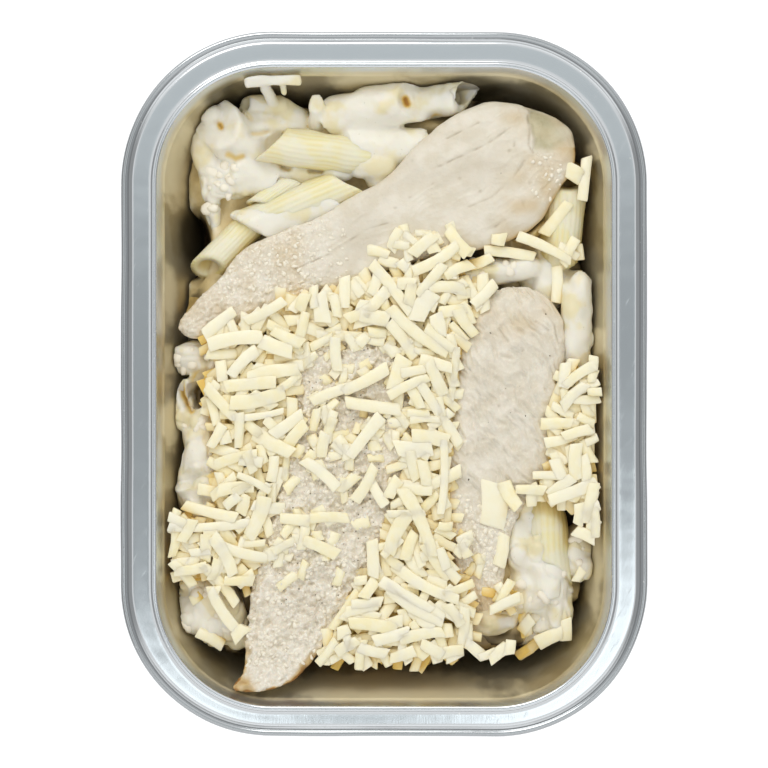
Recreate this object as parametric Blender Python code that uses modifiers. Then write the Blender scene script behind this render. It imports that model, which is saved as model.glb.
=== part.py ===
# A pasta meal in a foil tray: three pieces of chicken breast and grated cheese on
# pasta tubes in white sauce. The tray rests on the ground at the origin with its
# length along Y, and its open top faces +Z.

import math
import random

import bmesh
import bpy
from mathutils import Matrix, Vector

MM = 0.001

# Tray, over the outside of its flange. Every ring of the tray shares its corner centres.
TRAY_LENGTH = 190 * MM
TRAY_WIDTH = 142.2 * MM
TRAY_HEIGHT = 40 * MM
TRAY_CORNER = 41 * MM
CORNER_STEPS = 8
FOIL = 0.4 * MM

# Section of the flange and the wall. An inset is measured inward from the outer edge.
BEAD_RADIUS = 0.9 * MM
BEAD_HEIGHT = 38.2 * MM
CREASE = (2.0 * MM, 38.7 * MM)
FLAT_OUTER = 3.4 * MM
FLAT_INNER = 7.9 * MM
FLAT_HEIGHT = 39.5 * MM
RIM_TOP = ((8.3 * MM, 39.9 * MM), (9.0 * MM, 40 * MM), (9.6 * MM, 39.9 * MM))
RIM_INSET = 9.8 * MM
STEP_TOP = (10.5 * MM, 36.3 * MM)
STEP_EDGE = (12.0 * MM, 35.5 * MM)
WALL_TOP = (12.3 * MM, 34.8 * MM)
WALL_SLOPE = 0.28
BASE_RADIUS = 6 * MM
# The base's rounded edge ends a little above the ground, and its panel is pressed down
# from there, so that the tray stands on the flat panel alone.
BASE_LIFT = 0.3 * MM
PANEL_INSET = 5 * MM

# Touching pieces keep this gap, and a cutter is grown by it with a little to spare.
GAP = 0.3 * MM
GROWN = 0.4 * MM
# Points closer together than this are one point
MERGE = 0.002 * MM

# Food: pasta tube wall and bore, cheese strands, and the level of each layer
PASTA_SIDES = 12
PASTA_WALL = 1.7 * MM
PASTA_BORE = 8 * MM
PASTA_CUT = 0.75
PASTA_LEVEL = 25 * MM
CHEESE_LEVEL = 28 * MM
STRAND_WIDTH = 3.1 * MM
STRAND_DEPTH = 2.6 * MM
STRAND_SPACING = 7.6 * MM
STRAND_SHORTEST = 8 * MM
STRAND_LONGEST = 17 * MM
STRAND_CLEAR = 0.22
STRAND_JITTER = 0.35
STRAND_TILT = 0.22
STRAND_RISE = 2.2 * MM

random.seed(7)


def point(x, y, z):
    return Vector((x * MM, y * MM, z * MM))


def material(name, colour, roughness, metallic=0.0):
    made = bpy.data.materials.new(name)
    made.use_nodes = True
    shader = made.node_tree.nodes["Principled BSDF"]
    shader.inputs["Base Color"].default_value = (*colour, 1.0)
    shader.inputs["Roughness"].default_value = roughness
    shader.inputs["Metallic"].default_value = metallic
    made.diffuse_color = (*colour, 1.0)
    return made


def face_outward(solid):
    bmesh.ops.recalc_face_normals(solid, faces=solid.faces)
    if solid.calc_volume(signed=True) < 0:
        bmesh.ops.reverse_faces(solid, faces=solid.faces)


def add_object(name, mesh_data, collection):
    mesh = bpy.data.meshes.new(name)
    face_outward(mesh_data)
    mesh_data.to_mesh(mesh)
    mesh_data.free()
    made = bpy.data.objects.new(name, mesh)
    collection.objects.link(made)
    return made


# Rings and lofts

def ring(inset, height, ripple=0.0):
    # A rounded rectangle inside the tray's outline. The ripple draws it in unevenly.
    corner_x = TRAY_WIDTH / 2 - TRAY_CORNER
    corner_y = TRAY_LENGTH / 2 - TRAY_CORNER
    points = []
    for quarter in range(4):
        side_x = 1 if quarter in (0, 3) else -1
        side_y = 1 if quarter in (0, 1) else -1
        for step in range(CORNER_STEPS + 1):
            angle = math.radians(90) * (quarter + step / CORNER_STEPS)
            drawn_in = ripple * (0.5 + 0.5 * math.sin(5 * angle + 3 * quarter))
            radius = TRAY_CORNER - inset - drawn_in
            points.append(Vector((
                side_x * corner_x + radius * math.cos(angle),
                side_y * corner_y + radius * math.sin(angle),
                height)))
    return points


def loft(rings, capped=(True, True)):
    shape = bmesh.new()
    rows = [[shape.verts.new(p) for p in points] for points in rings]
    count = len(rows[0])
    for lower, upper in zip(rows, rows[1:]):
        for i in range(count):
            j = (i + 1) % count
            shape.faces.new((lower[i], lower[j], upper[j], upper[i]))
    if capped[0]:
        shape.faces.new(reversed(rows[0]))
    if capped[1]:
        shape.faces.new(rows[-1])
    return shape


# Tray section

def wall_inset(height):
    return WALL_TOP[0] + (WALL_TOP[1] - height) * WALL_SLOPE


def inner_section():
    # From the rim's edge down the step and the wall, round the base's edge to the floor
    points = [(RIM_INSET, FLAT_HEIGHT), STEP_TOP, STEP_EDGE, WALL_TOP]
    wall_angle = math.atan(WALL_SLOPE)
    centre_height = FOIL + BASE_LIFT + BASE_RADIUS
    touch_height = centre_height - BASE_RADIUS * math.sin(wall_angle)
    centre_inset = wall_inset(touch_height) + BASE_RADIUS * math.cos(wall_angle)
    for step in range(4):
        angle = wall_angle + (math.pi / 2 - wall_angle) * step / 3
        points.append((
            centre_inset - BASE_RADIUS * math.cos(angle),
            centre_height - BASE_RADIUS * math.sin(angle)))
    points.append((centre_inset + PANEL_INSET, FOIL))
    return points


def flange_section():
    # From under the rolled edge, over the crease, the flat and the shoulder
    points = []
    for degrees in (285, 235, 185, 135, 85, 40):
        angle = math.radians(degrees)
        points.append((
            BEAD_RADIUS + BEAD_RADIUS * math.cos(angle),
            BEAD_HEIGHT + BEAD_RADIUS * math.sin(angle)))
    points.append(CREASE)
    points.append((FLAT_OUTER, FLAT_HEIGHT))
    points.append((FLAT_INNER, FLAT_HEIGHT))
    return points + list(RIM_TOP)


def build_tray(collection, surface):
    section = flange_section() + inner_section()
    shell = loft([ring(inset, height) for inset, height in section], capped=(False, True))
    tray = add_object("tray", shell, collection)
    if tray.data.polygons[-1].normal.z < 0:
        tray.data.flip_normals()
    foil = tray.modifiers.new("Foil", 'SOLIDIFY')
    foil.thickness = FOIL
    foil.offset = -1
    foil.use_even_offset = True
    tray.data.materials.append(surface)
    tray.data.shade_smooth()
    return tray


def tray_space(name, collection):
    # The room inside the tray that food can fill, clear of the wall and open upward
    section = [(inset + GAP, height + GAP) for inset, height in reversed(inner_section())]
    section.append((RIM_INSET + GAP, TRAY_HEIGHT + 20 * MM))
    return add_object(name, loft([ring(inset, height) for inset, height in section]), collection)


# Solids that food is put together from

def pasta_tube(start, end, diameter, bored=False, grow=0.0):
    # A tube with both ends cut on the slant. A bored tube is open at its end point,
    # and that end's cut faces up.
    length = (end - start).length + 2 * grow
    tube = bmesh.new()
    bmesh.ops.create_cone(
        tube, cap_ends=True, segments=PASTA_SIDES, depth=length,
        radius1=diameter / 2 + grow, radius2=diameter / 2 + grow)
    for vertex in tube.verts:
        vertex.co.z += PASTA_CUT * vertex.co.x
    if bored:
        cap = max(tube.faces, key=lambda face: face.calc_center_median().z)
        bmesh.ops.inset_individual(tube, faces=[cap], thickness=PASTA_WALL + grow)
        inner = bmesh.ops.extrude_discrete_faces(tube, faces=[cap])["faces"][0]
        bmesh.ops.translate(tube, verts=inner.verts, vec=(0, 0, -PASTA_BORE))
    axis = (end - start).normalized()
    side = axis.cross(Vector((0, 0, 1))).normalized()
    down = axis.cross(side).normalized()
    if down.z > 0:
        down = -down
    turned = Matrix((down, axis.cross(down), axis)).transposed().to_4x4()
    tube.transform(Matrix.Translation((start + end) / 2) @ turned)
    return tube


def sauce_lump(centre, size, grow=0.0):
    lump = bmesh.new()
    bmesh.ops.create_uvsphere(lump, u_segments=10, v_segments=6, radius=1.0)
    lump.transform(Matrix.Diagonal((*(size / 2 + Vector((grow, grow, grow))), 1.0)))
    lump.transform(Matrix.Translation(centre))
    return lump


def bar(centre, turn, tilt, length, width, depth, grow=0.0):
    # A straight strand: turn is its heading from +X, tilt lifts its far end
    strand = bmesh.new()
    bmesh.ops.create_cube(strand, size=1.0)
    strand.transform(Matrix.Diagonal((length + 2 * grow, width + 2 * grow, depth + 2 * grow, 1.0)))
    strand.transform(Matrix.Rotation(turn, 4, 'Z') @ Matrix.Rotation(-tilt, 4, 'Y'))
    strand.transform(Matrix.Translation(centre))
    return strand


def combine(target, pieces, operation):
    # One Boolean of the target with a collection of pieces, which are then removed. The
    # pieces are closed, and the manifold solver keeps the result closed too.
    group = bpy.data.collections.new("pieces")
    bpy.context.scene.collection.children.link(group)
    for number, piece in enumerate(pieces):
        add_object(f"piece_{number}", piece, group)
    step = target.modifiers.new(operation, 'BOOLEAN')
    step.operand_type = 'COLLECTION'
    step.collection = group
    step.operation = operation
    step.solver = 'MANIFOLD'
    bpy.context.view_layer.update()
    evaluated = target.evaluated_get(bpy.context.evaluated_depsgraph_get())
    joined = bpy.data.meshes.new_from_object(evaluated)
    target.modifiers.clear()
    target.data = joined
    for piece in list(group.objects):
        bpy.data.objects.remove(piece)
    bpy.data.collections.remove(group)


def keep_largest(target):
    # Drops the loose scraps that a cut leaves beside the main body
    shape = bmesh.new()
    shape.from_mesh(target.data)
    bmesh.ops.remove_doubles(shape, verts=shape.verts, dist=MERGE)
    bmesh.ops.dissolve_degenerate(shape, edges=shape.edges, dist=MERGE)
    shape.verts.ensure_lookup_table()
    unseen = set(shape.verts)
    bodies = []
    while unseen:
        body = {unseen.pop()}
        edge_of_body = list(body)
        while edge_of_body:
            vertex = edge_of_body.pop()
            for edge in vertex.link_edges:
                other = edge.other_vert(vertex)
                if other in unseen:
                    unseen.discard(other)
                    body.add(other)
                    edge_of_body.append(other)
        bodies.append(body)
    bodies.sort(key=len, reverse=True)
    for scrap in bodies[1:]:
        bmesh.ops.delete(shape, geom=list(scrap), context='VERTS')
    bmesh.ops.triangulate(shape, faces=shape.faces)
    shape.to_mesh(target.data)
    shape.free()


# Chicken: each piece is a row of stations along its length. A station gives its left
# edge, its right edge, its underside and its top, in millimetres.

LONG_STATIONS = (
    ((30, 77), (51, 70), 29.0, 35.0),
    ((20, 73), (52, 62), 27.5, 36.3),
    ((10, 65.5), (47.5, 52), 27.0, 36.5),
    ((2, 57.5), (40.5, 42.5), 27.0, 36.5),
    ((-7, 51.5), (25, 36.5), 27.3, 36.2),
    ((-17, 46), (8, 33), 27.5, 36.0),
    ((-28, 41), (-7, 28), 27.8, 35.5),
    ((-38, 36.5), (-20, 24), 28.0, 35.0),
    ((-45, 28.5), (-33, 19), 28.2, 34.5),
    ((-51, 22), (-43, 15), 28.6, 34.0),
    ((-56, 16.5), (-51, 12), 29.5, 33.0),
)
LEFT_STATIONS = (
    ((-17, 16.5), (-6, 17), 29.0, 34.0),
    ((-23, 10), (3, 9.5), 28.3, 35.3),
    ((-24.5, 1), (6.5, -1), 28.2, 35.8),
    ((-24, -9), (8.3, -11), 28.2, 36.0),
    ((-26, -18), (6.5, -22), 28.2, 36.0),
    ((-29, -28), (3, -34), 28.2, 36.0),
    ((-32, -39), (-2.5, -46), 28.3, 36.0),
    ((-34.5, -51), (-9.5, -58), 28.8, 36.0),
    ((-36.5, -62), (-15, -68), 30.0, 36.3),
    ((-37, -71), (-21, -76), 32.0, 36.8),
    ((-38, -78), (-26, -80.5), 34.5, 38.0),
    ((-41, -81.5), (-33, -83), 36.8, 39.0),
)
RIGHT_STATIONS = (
    ((27, 24.5), (42, 25.5), 28.3, 33.5),
    ((22.5, 18), (48, 18), 27.8, 35.0),
    ((20.3, 8), (48.8, 8), 27.6, 35.5),
    ((19, -3), (47.3, -3), 27.6, 35.5),
    ((18, -14), (46, -14), 27.6, 35.2),
    ((17, -25), (44.5, -25), 27.6, 34.8),
    ((17.2, -35), (37, -34), 27.6, 34.2),
    ((18, -45), (33.5, -44), 27.6, 33.5),
    ((20, -54), (32.5, -53), 27.8, 32.6),
    ((23, -62), (31, -61.5), 28.2, 31.5),
)
# Half of a section across a piece: the share of its half width and of its height
SLICE_SIDE = ((0.82, 0.0), (1.06, 0.3), (1.03, 0.75), (0.7, 1.03))
SLICE_CROWN = 1.04
END_LENGTH = 1.2 * MM
END_SHARE = 0.8


def chicken_solid(stations, grow=0.0):
    # Each end has a second, smaller section just past the last station, to keep it blunt.
    sections = [(station, 0.0, 1.0) for station in stations]
    sections.insert(0, (stations[0], -END_LENGTH - grow, END_SHARE))
    sections.append((stations[-1], END_LENGTH + grow, END_SHARE))
    rings = []
    for (left, right, base, top), end_shift, share in sections:
        left = point(*left, 0)
        right = point(*right, 0)
        across = (right - left).normalized()
        along = across.cross(Vector((0, 0, 1)))
        centre = (left + right) / 2 + along * end_shift
        half = (right - left).length / 2 * share + grow
        low = base * MM - grow
        high = top * MM + grow
        profile = [(0.0, SLICE_CROWN)]
        profile += [(-side, rise) for side, rise in reversed(SLICE_SIDE)]
        profile += [(0.0, 0.0)]
        profile += list(SLICE_SIDE)
        rings.append([
            centre + across * (half * side) + Vector((0, 0, low + (high - low) * rise))
            for side, rise in profile])
    return loft(rings)


def build_chicken(name, stations, strands, collection, surface):
    # Cheese strands that lie on the meat are pressed into it and belong to it.
    cage = add_object(name, chicken_solid(stations), collection)
    smooth = cage.modifiers.new("Soft form", 'SUBSURF')
    smooth.levels = 1
    smooth.render_levels = 1
    evaluated = cage.evaluated_get(bpy.context.evaluated_depsgraph_get())
    cage.data = bpy.data.meshes.new_from_object(evaluated)
    cage.modifiers.clear()
    if strands:
        combine(cage, [strand_on(*strand) for strand in strands], 'UNION')
    keep_largest(cage)
    cage.data.materials.clear()
    cage.data.materials.append(surface)
    cage.data.shade_smooth()
    return cage


def strand_on(x, y, z, degrees, length):
    return bar(point(x, y, z), math.radians(degrees), 0.0, length * MM, STRAND_WIDTH, STRAND_DEPTH)


def grown_chicken(stations):
    # The same soft form, larger by the gap all round, to cut its neighbours with
    cage = bpy.data.objects.new("cutter", bpy.data.meshes.new("cutter"))
    shape = chicken_solid(stations, GROWN)
    face_outward(shape)
    shape.to_mesh(cage.data)
    shape.free()
    bpy.context.scene.collection.objects.link(cage)
    smooth = cage.modifiers.new("Soft form", 'SUBSURF')
    smooth.levels = 1
    smooth.render_levels = 1
    evaluated = cage.evaluated_get(bpy.context.evaluated_depsgraph_get())
    shape = bmesh.new()
    shape.from_mesh(evaluated.to_mesh())
    evaluated.to_mesh_clear()
    bpy.data.objects.remove(cage)
    return shape


# Pasta in sauce. Start, end, diameter and whether the end's bore shows, in millimetres.

PASTA_TUBES = (
    ((-32.5, 62, 25), (-45.5, 71, 30), 12.5, True),
    ((8, 67, 27), (-33, 65, 30), 10.5, False),
    ((-9, 56, 28.5), (-33, 45, 27.5), 11, False),
    ((-23, 59, 26), (-34, 50, 28), 9.5, False),
    ((-9, 75.5, 28), (22, 76, 31.5), 11.5, True),
    ((-20, 73.5, 25.5), (-35.5, 75.5, 28), 7.5, False),
    ((-36, 43.5, 26), (-48.5, 31.5, 27.5), 8.5, False),
    ((-44.5, -4, 22), (-50, -3, 30), 11.5, True),
    ((48, 36, 26), (50, 57, 27.5), 11.5, False),
    ((52, 7, 28), (52.3, 29.5, 29.5), 9, False),
    ((43.5, -37, 28.5), (43.7, -64, 28), 12.5, False),
    ((38.5, -56, 21), (38.5, -67, 19), 7, True),
    ((-42.5, -30.5, 29), (-52.5, -26, 30.5), 8, False),
    ((-40, -37, 29), (-53.5, -36.5, 30.5), 9, False),
    ((-16, -68, 20), (-5, -71, 18), 7, False),
    ((8, -70, 19.5), (19, -71, 18), 7, False),
    ((23, -68, 20), (33, -71, 18), 6.5, False),
)
SAUCE_LUMPS = (
    ((-47, 5.5, 26), (18, 9, 11)),
    ((-49, -18, 25), (11, 12, 10)),
    ((-47.5, -59, 24), (17, 22, 13)),
    ((30, 30, 26), (20, 9, 9)),
    ((52.5, -46, 25), (9, 14, 10)),
    ((44.5, -64, 22), (11, 9, 10)),
)
# The flat scrap of pasta that stands against the wall at the far end, and its stem
SCRAP = (point(-29.5, 81.2, 35.2), 0.0, 0.0, 14.5 * MM, 3 * MM, 2.6 * MM)
SCRAP_STEM = (point(-30.8, 77.8, 31.2), math.radians(83), math.radians(50), 10 * MM, 3.6 * MM, 2.4 * MM)


def pasta_pieces(grow=0.0):
    pieces = []
    for start, end, diameter, bored in PASTA_TUBES:
        pieces.append(pasta_tube(
            point(*start), point(*end), diameter * MM, bored and grow == 0.0, grow))
    for centre, size in SAUCE_LUMPS:
        pieces.append(sauce_lump(point(*centre), point(*size), grow))
    pieces.append(bar(*SCRAP, grow=grow))
    pieces.append(bar(*SCRAP_STEM, grow=grow))
    return pieces


def pasta_core(grow=0.0):
    # The bulk of the pasta and sauce, close to the wall low down and uneven on top. A
    # level is its height, how far it stays clear of the wall, and its ripple.
    levels = (
        (FOIL + 0.4 * MM, BASE_RADIUS * 0.9, 0.0),
        (5 * MM, 1.4 * MM, 0.0),
        (13 * MM, 0.8 * MM, 1.5 * MM),
        (19 * MM, 3 * MM, 3 * MM),
        (23.5 * MM, 7 * MM, 4 * MM),
        (PASTA_LEVEL, 16 * MM, 5 * MM),
    )
    rings = []
    for height, clearance, ripple in levels:
        inset = wall_inset(height) + clearance - grow
        rings.append(ring(inset, height + grow, ripple))
    return loft(rings)


def build_pasta(collection, surface, cutters):
    heap = add_object("pasta_in_sauce", pasta_core(), collection)
    combine(heap, pasta_pieces(), 'UNION')
    trim_to_tray(heap)
    combine(heap, cutters, 'DIFFERENCE')
    keep_largest(heap)
    heap.data.materials.clear()
    heap.data.materials.append(surface)
    return heap


def trim_to_tray(target):
    space = tray_space("space", bpy.context.scene.collection)
    shape = bmesh.new()
    shape.from_mesh(space.data)
    bpy.data.objects.remove(space)
    combine(target, [shape], 'INTERSECT')


# Grated cheese: a bed of it over the pasta, up to the long piece of chicken, with
# strands on top that are set out on a jittered grid

CHEESE_NEAR_CHICKEN = (point(-50, 17, 0), point(30, 37, 0))


def in_cheese_area(x, y):
    # Below the line along the long piece's lower edge, and off the other two pieces
    start, end = CHEESE_NEAR_CHICKEN
    edge_height = start.y + (end.y - start.y) * (x - start.x) / (end.x - start.x)
    if y > edge_height:
        return False
    return not over_chicken(x, y, LEFT_STATIONS) and not over_chicken(x, y, RIGHT_STATIONS)


def over_chicken(x, y, stations):
    rows = [(point(*left, 0), point(*right, 0)) for left, right, base, top in stations]
    for (left, right), (next_left, next_right) in zip(rows, rows[1:]):
        middle = (left + right) / 2
        next_middle = (next_left + next_right) / 2
        if min(middle.y, next_middle.y) <= y <= max(middle.y, next_middle.y):
            share = (y - middle.y) / (next_middle.y - middle.y)
            low = left.x + (next_left.x - left.x) * share
            high = right.x + (next_right.x - right.x) * share
            return low - STRAND_WIDTH / 2 < x < high + STRAND_WIDTH / 2
    return False


def cheese_bed():
    # Levels as in the pasta's bulk
    levels = ((20 * MM, 3 * MM, 0.0), (25 * MM, 1.5 * MM, 2 * MM), (CHEESE_LEVEL, 6 * MM, 5 * MM))
    return loft([ring(wall_inset(height) + clearance, height, ripple)
                 for height, clearance, ripple in levels])


def cheese_strands():
    strands = []
    columns = int((TRAY_WIDTH - 2 * RIM_INSET) / STRAND_SPACING)
    rows = int((TRAY_LENGTH - 2 * RIM_INSET) / STRAND_SPACING)
    for column in range(columns):
        for row in range(rows):
            across = column + 0.5 - columns / 2 + random.uniform(-STRAND_JITTER, STRAND_JITTER)
            along = row + 0.5 - rows / 2 + random.uniform(-STRAND_JITTER, STRAND_JITTER)
            x = across * STRAND_SPACING
            y = along * STRAND_SPACING
            turn = random.uniform(0, math.pi)
            tilt = random.uniform(-STRAND_TILT, STRAND_TILT)
            length = random.uniform(STRAND_SHORTEST, STRAND_LONGEST)
            height = CHEESE_LEVEL + random.uniform(0.0, STRAND_RISE)
            reach = Vector((math.cos(turn), math.sin(turn), 0)) * length * STRAND_CLEAR
            if all(in_cheese_area(x + side * reach.x, y + side * reach.y) for side in (-1, 0, 1)):
                strands.append(bar(Vector((x, y, height)), turn, tilt, length,
                                   STRAND_WIDTH, STRAND_DEPTH))
    return strands


def build_cheese(collection, surface, cutters):
    heap = add_object("grated_cheese", cheese_bed(), collection)
    combine(heap, cheese_strands(), 'UNION')
    start, end = CHEESE_NEAR_CHICKEN
    heading = math.atan2(end.y - start.y, end.x - start.x)
    far_side = bar(
        (start + end) / 2 + Vector((-math.sin(heading), math.cos(heading), 0)) * TRAY_LENGTH / 2
        + Vector((0, 0, CHEESE_LEVEL)),
        heading, 0.0, 2 * TRAY_LENGTH, TRAY_LENGTH, TRAY_HEIGHT)
    trim_to_tray(heap)
    pasta = [pasta_core(GROWN)] + pasta_pieces(GROWN)
    combine(heap, [far_side] + pasta + cutters, 'DIFFERENCE')
    keep_largest(heap)
    heap.data.materials.clear()
    heap.data.materials.append(surface)
    return heap


# Cheese strands pressed into the chicken: x, y, height, heading in degrees, length

STRANDS_ON_LEFT = (
    (-13, 8, 34.9, 95, 9),
    (-14, -2.5, 35.3, 20, 12),
    (-5, 1, 35.3, 28, 14),
    (-3, -6, 35.5, -8, 15),
    (-5, -14, 35.5, 52, 14),
    (-17, -24, 35.5, -40, 12),
    (-5, -27, 35.5, 60, 11),
    (-15, -36, 35.5, 0, 11),
    (-24, -36.5, 35.3, -5, 8),
    (-17, -44, 35.5, -25, 10),
)
STRANDS_ON_RIGHT = (
    (39, -28, 34.4, -4, 9),
    (28.5, -33, 34.2, 85, 9),
    (33.5, -29, 34.2, 60, 8),
)
STRANDS_ON_LONG = (
    (20.5, 38, 35.2, -55, 8),
    (10.5, 37.5, 35.2, 40, 8),
)


def main():
    for old in list(bpy.data.objects):
        bpy.data.objects.remove(old)
    meal = bpy.data.collections.new("foil_tray_meal")
    bpy.context.scene.collection.children.link(meal)
    foil = material("foil", (0.62, 0.64, 0.65), 0.28, 1.0)
    sauce = material("pasta_and_sauce", (0.80, 0.71, 0.48), 0.40)
    cheese = material("cheese", (0.88, 0.78, 0.50), 0.50)
    meat = material("chicken", (0.79, 0.69, 0.56), 0.55)
    build_tray(meal, foil)
    build_chicken("chicken_long", LONG_STATIONS, STRANDS_ON_LONG, meal, meat)
    build_chicken("chicken_left", LEFT_STATIONS, STRANDS_ON_LEFT, meal, meat)
    build_chicken("chicken_right", RIGHT_STATIONS, STRANDS_ON_RIGHT, meal, meat)
    all_stations = (LONG_STATIONS, LEFT_STATIONS, RIGHT_STATIONS)
    build_pasta(meal, sauce, [grown_chicken(stations) for stations in all_stations])
    build_cheese(meal, cheese, [grown_chicken(stations) for stations in all_stations])


main()
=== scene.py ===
import math

import bmesh
import bpy
import numpy as np
from mathutils.bvhtree import BVHTree
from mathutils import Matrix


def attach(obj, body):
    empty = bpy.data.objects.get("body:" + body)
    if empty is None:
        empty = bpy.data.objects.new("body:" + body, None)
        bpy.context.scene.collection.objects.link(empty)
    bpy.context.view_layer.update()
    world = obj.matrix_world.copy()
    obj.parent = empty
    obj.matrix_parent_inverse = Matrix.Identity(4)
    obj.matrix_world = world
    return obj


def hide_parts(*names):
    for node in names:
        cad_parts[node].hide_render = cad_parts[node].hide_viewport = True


# A pasta meal in a foil tray, seen from above: three pieces of cooked chicken and grated
# cheese lie on penne in white sauce. Sizes are metres in the frame's own axes.

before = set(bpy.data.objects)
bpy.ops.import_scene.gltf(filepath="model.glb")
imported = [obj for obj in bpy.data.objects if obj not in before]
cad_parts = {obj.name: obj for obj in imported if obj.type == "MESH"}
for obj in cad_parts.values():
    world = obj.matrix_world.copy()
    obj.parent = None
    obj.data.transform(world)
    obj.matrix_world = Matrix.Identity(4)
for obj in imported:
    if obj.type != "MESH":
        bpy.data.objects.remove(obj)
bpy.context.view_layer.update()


# The tray is one sheet of aluminium, pressed smooth, with a flat flange whose outer edge
# is rolled under into a bead. A small step inside the flange's rim leads into the wall.

MM = 0.001
TRAY_WIDTH = 142.2 * MM
TRAY_LENGTH = 190.0 * MM
TRAY_CORNER = 41.0 * MM
# The middle of the upper right corner's arc
ARC_MIDDLE = (TRAY_WIDTH / 2 - TRAY_CORNER, TRAY_LENGTH / 2 - TRAY_CORNER)
FOIL = 0.4 * MM
# The flange is narrower along the lower end
NARROWER_BELOW = 1.6 * MM
BEAD_RADIUS = 0.9 * MM
BEAD_HEIGHT = 38.2 * MM
WALL_TOP = (12.3 * MM, 34.8 * MM)
WALL_SLOPE = 0.28
BASE_RADIUS = 6.0 * MM
BASE_LIFT = 0.3 * MM
# Points round each corner, along each short side and along each long side
TRAY_STEPS = (30, 18, 32)
# Where sauce has been wiped along the wall: centre, then half width and half length
SMEARS = ((-5, 82, 16, 5), (-57, 60, 6, 16), (58, 12, 4, 6), (-58, -10, 4, 9), (-53.5, 67, 4, 6),
          (30, 83, 14, 3), (-58, 25, 3, 14), (58, 66, 4, 8), (57, -50, 3, 20), (0, -83, 60, 6))
# Where the wall's reflection of the dark gaps is painted on as dark brown patches, given the same way
DARK_REFLECTION_PATCHES = ((-42, 78, 9, 6), (-53, 41, 4, 11), (24, 81, 12, 3))


def around_tray(corner_steps, short_steps, long_steps):
    # A ring round the tray: for each point, where it is measured from and its way out
    middle_x, middle_y = ARC_MIDDLE
    corners = ((middle_x, middle_y), (-middle_x, middle_y),
               (-middle_x, -middle_y), (middle_x, -middle_y))
    anchors = []
    outward = []
    for quarter in range(4):
        here = corners[quarter]
        following = corners[(quarter + 1) % 4]
        for step in range(corner_steps + 1):
            angle = math.pi / 2 * (quarter + step / corner_steps)
            anchors.append(here)
            outward.append((math.cos(angle), math.sin(angle)))
        side_steps = short_steps if quarter % 2 == 0 else long_steps
        for step in range(1, side_steps):
            share = step / side_steps
            anchors.append((here[0] + (following[0] - here[0]) * share,
                            here[1] + (following[1] - here[1]) * share))
            outward.append(outward[-1])
    return np.array(anchors), np.array(outward)


def noise(points, size, seed):
    # Smooth random values from 0 to 1, with one rise or dip about every `size` metres. The
    # large numbers are those of an ordinary integer hash.
    scaled = np.asarray(points) / size
    cell = np.floor(scaled).astype(np.int64)
    share = scaled - cell
    share = share * share * (3 - 2 * share)
    total = np.zeros(len(scaled))
    for corner in np.ndindex(2, 2, 2):
        at = (cell + corner).astype(np.uint64)
        mixed = (at[:, 0] * np.uint64(374761393) + at[:, 1] * np.uint64(668265263)
                 + at[:, 2] * np.uint64(2246822519) + np.uint64(seed * 3266489917))
        mixed &= np.uint64(0xFFFFFFFF)
        mixed = (mixed ^ (mixed >> np.uint64(13))) * np.uint64(1274126177)
        mixed &= np.uint64(0xFFFFFFFF)
        mixed = (mixed ^ (mixed >> np.uint64(16))) * np.uint64(2654435761)
        mixed &= np.uint64(0xFFFFFFFF)
        weight = np.prod(np.where(corner, share, 1 - share), axis=1)
        total += weight * mixed / 0xFFFFFFFF
    return total


def unevenness(points, size, seed, height=1.0):
    # Rises and dips of up to half that height, about `size` millimetres apart
    return (noise(points, size * MM, seed) - 0.5) * height


def ring_faces(rows, columns):
    # The quads between rings that are each closed on themselves
    first = np.arange(rows * columns).reshape(rows, columns)
    after = np.roll(first, -1, axis=1)
    return np.stack((first[:-1], after[:-1], after[1:], first[1:]), axis=-1).reshape(-1, 4)


def round_corners(line, passes):
    # Cuts each corner of an open line, which leaves a small curve there
    line = np.array(line)
    for _ in range(passes):
        near = line[:-1] * 0.75 + line[1:] * 0.25
        far = line[:-1] * 0.25 + line[1:] * 0.75
        middle = np.stack((near, far), axis=1).reshape(-1, 2)
        line = np.concatenate((line[:1], middle, line[-1:]))
    return line


def wall_inset(height):
    return WALL_TOP[0] + (WALL_TOP[1] - height) * WALL_SLOPE


def tray_section():
    # How far in from the tray's outline and how high: from under the rolled edge over the
    # flange, down the wall and along the floor
    bead = [(BEAD_RADIUS + BEAD_RADIUS * math.cos(angle), BEAD_HEIGHT + BEAD_RADIUS * math.sin(angle))
            for angle in np.radians(np.linspace(285, 40, 22))]
    flange = [(1.75, 38.62), (2.0, 38.65), (2.2, 38.72), (3.2, 39.42), (3.7, 39.5), (6.0, 39.5),
              (8.4, 39.5), (8.75, 39.85), (9.2, 39.98), (9.8, 39.9), (10.2, 39.3), (11.3, 37.2),
              (11.6, 36.8), (11.95, 36.4), (12.3, 34.8)]
    wall_angle = math.atan(WALL_SLOPE)
    centre_height = FOIL + BASE_LIFT + BASE_RADIUS
    touch_height = centre_height - BASE_RADIUS * math.sin(wall_angle)
    centre_inset = wall_inset(touch_height) + BASE_RADIUS * math.cos(wall_angle)
    wall = [(wall_inset(height), height) for height in np.linspace(32.5 * MM, touch_height, 12)[:-1]]
    base = [(centre_inset - BASE_RADIUS * math.cos(angle), centre_height - BASE_RADIUS * math.sin(angle))
            for angle in np.linspace(wall_angle, math.pi / 2, 7)]
    floor = [(inset * MM, FOIL) for inset in (33.5, 36, 38.5)]
    line = [(inset * MM, height * MM) for inset, height in flange]
    return np.concatenate((bead, round_corners(line, 2), wall, base, floor))


def write_reading(mesh, label, values):
    # A named value for each point, for the shaders to read
    layer = mesh.attributes.new(label, 'FLOAT', 'POINT')
    layer.data.foreach_set("value", np.asarray(values, np.float32))


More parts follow.
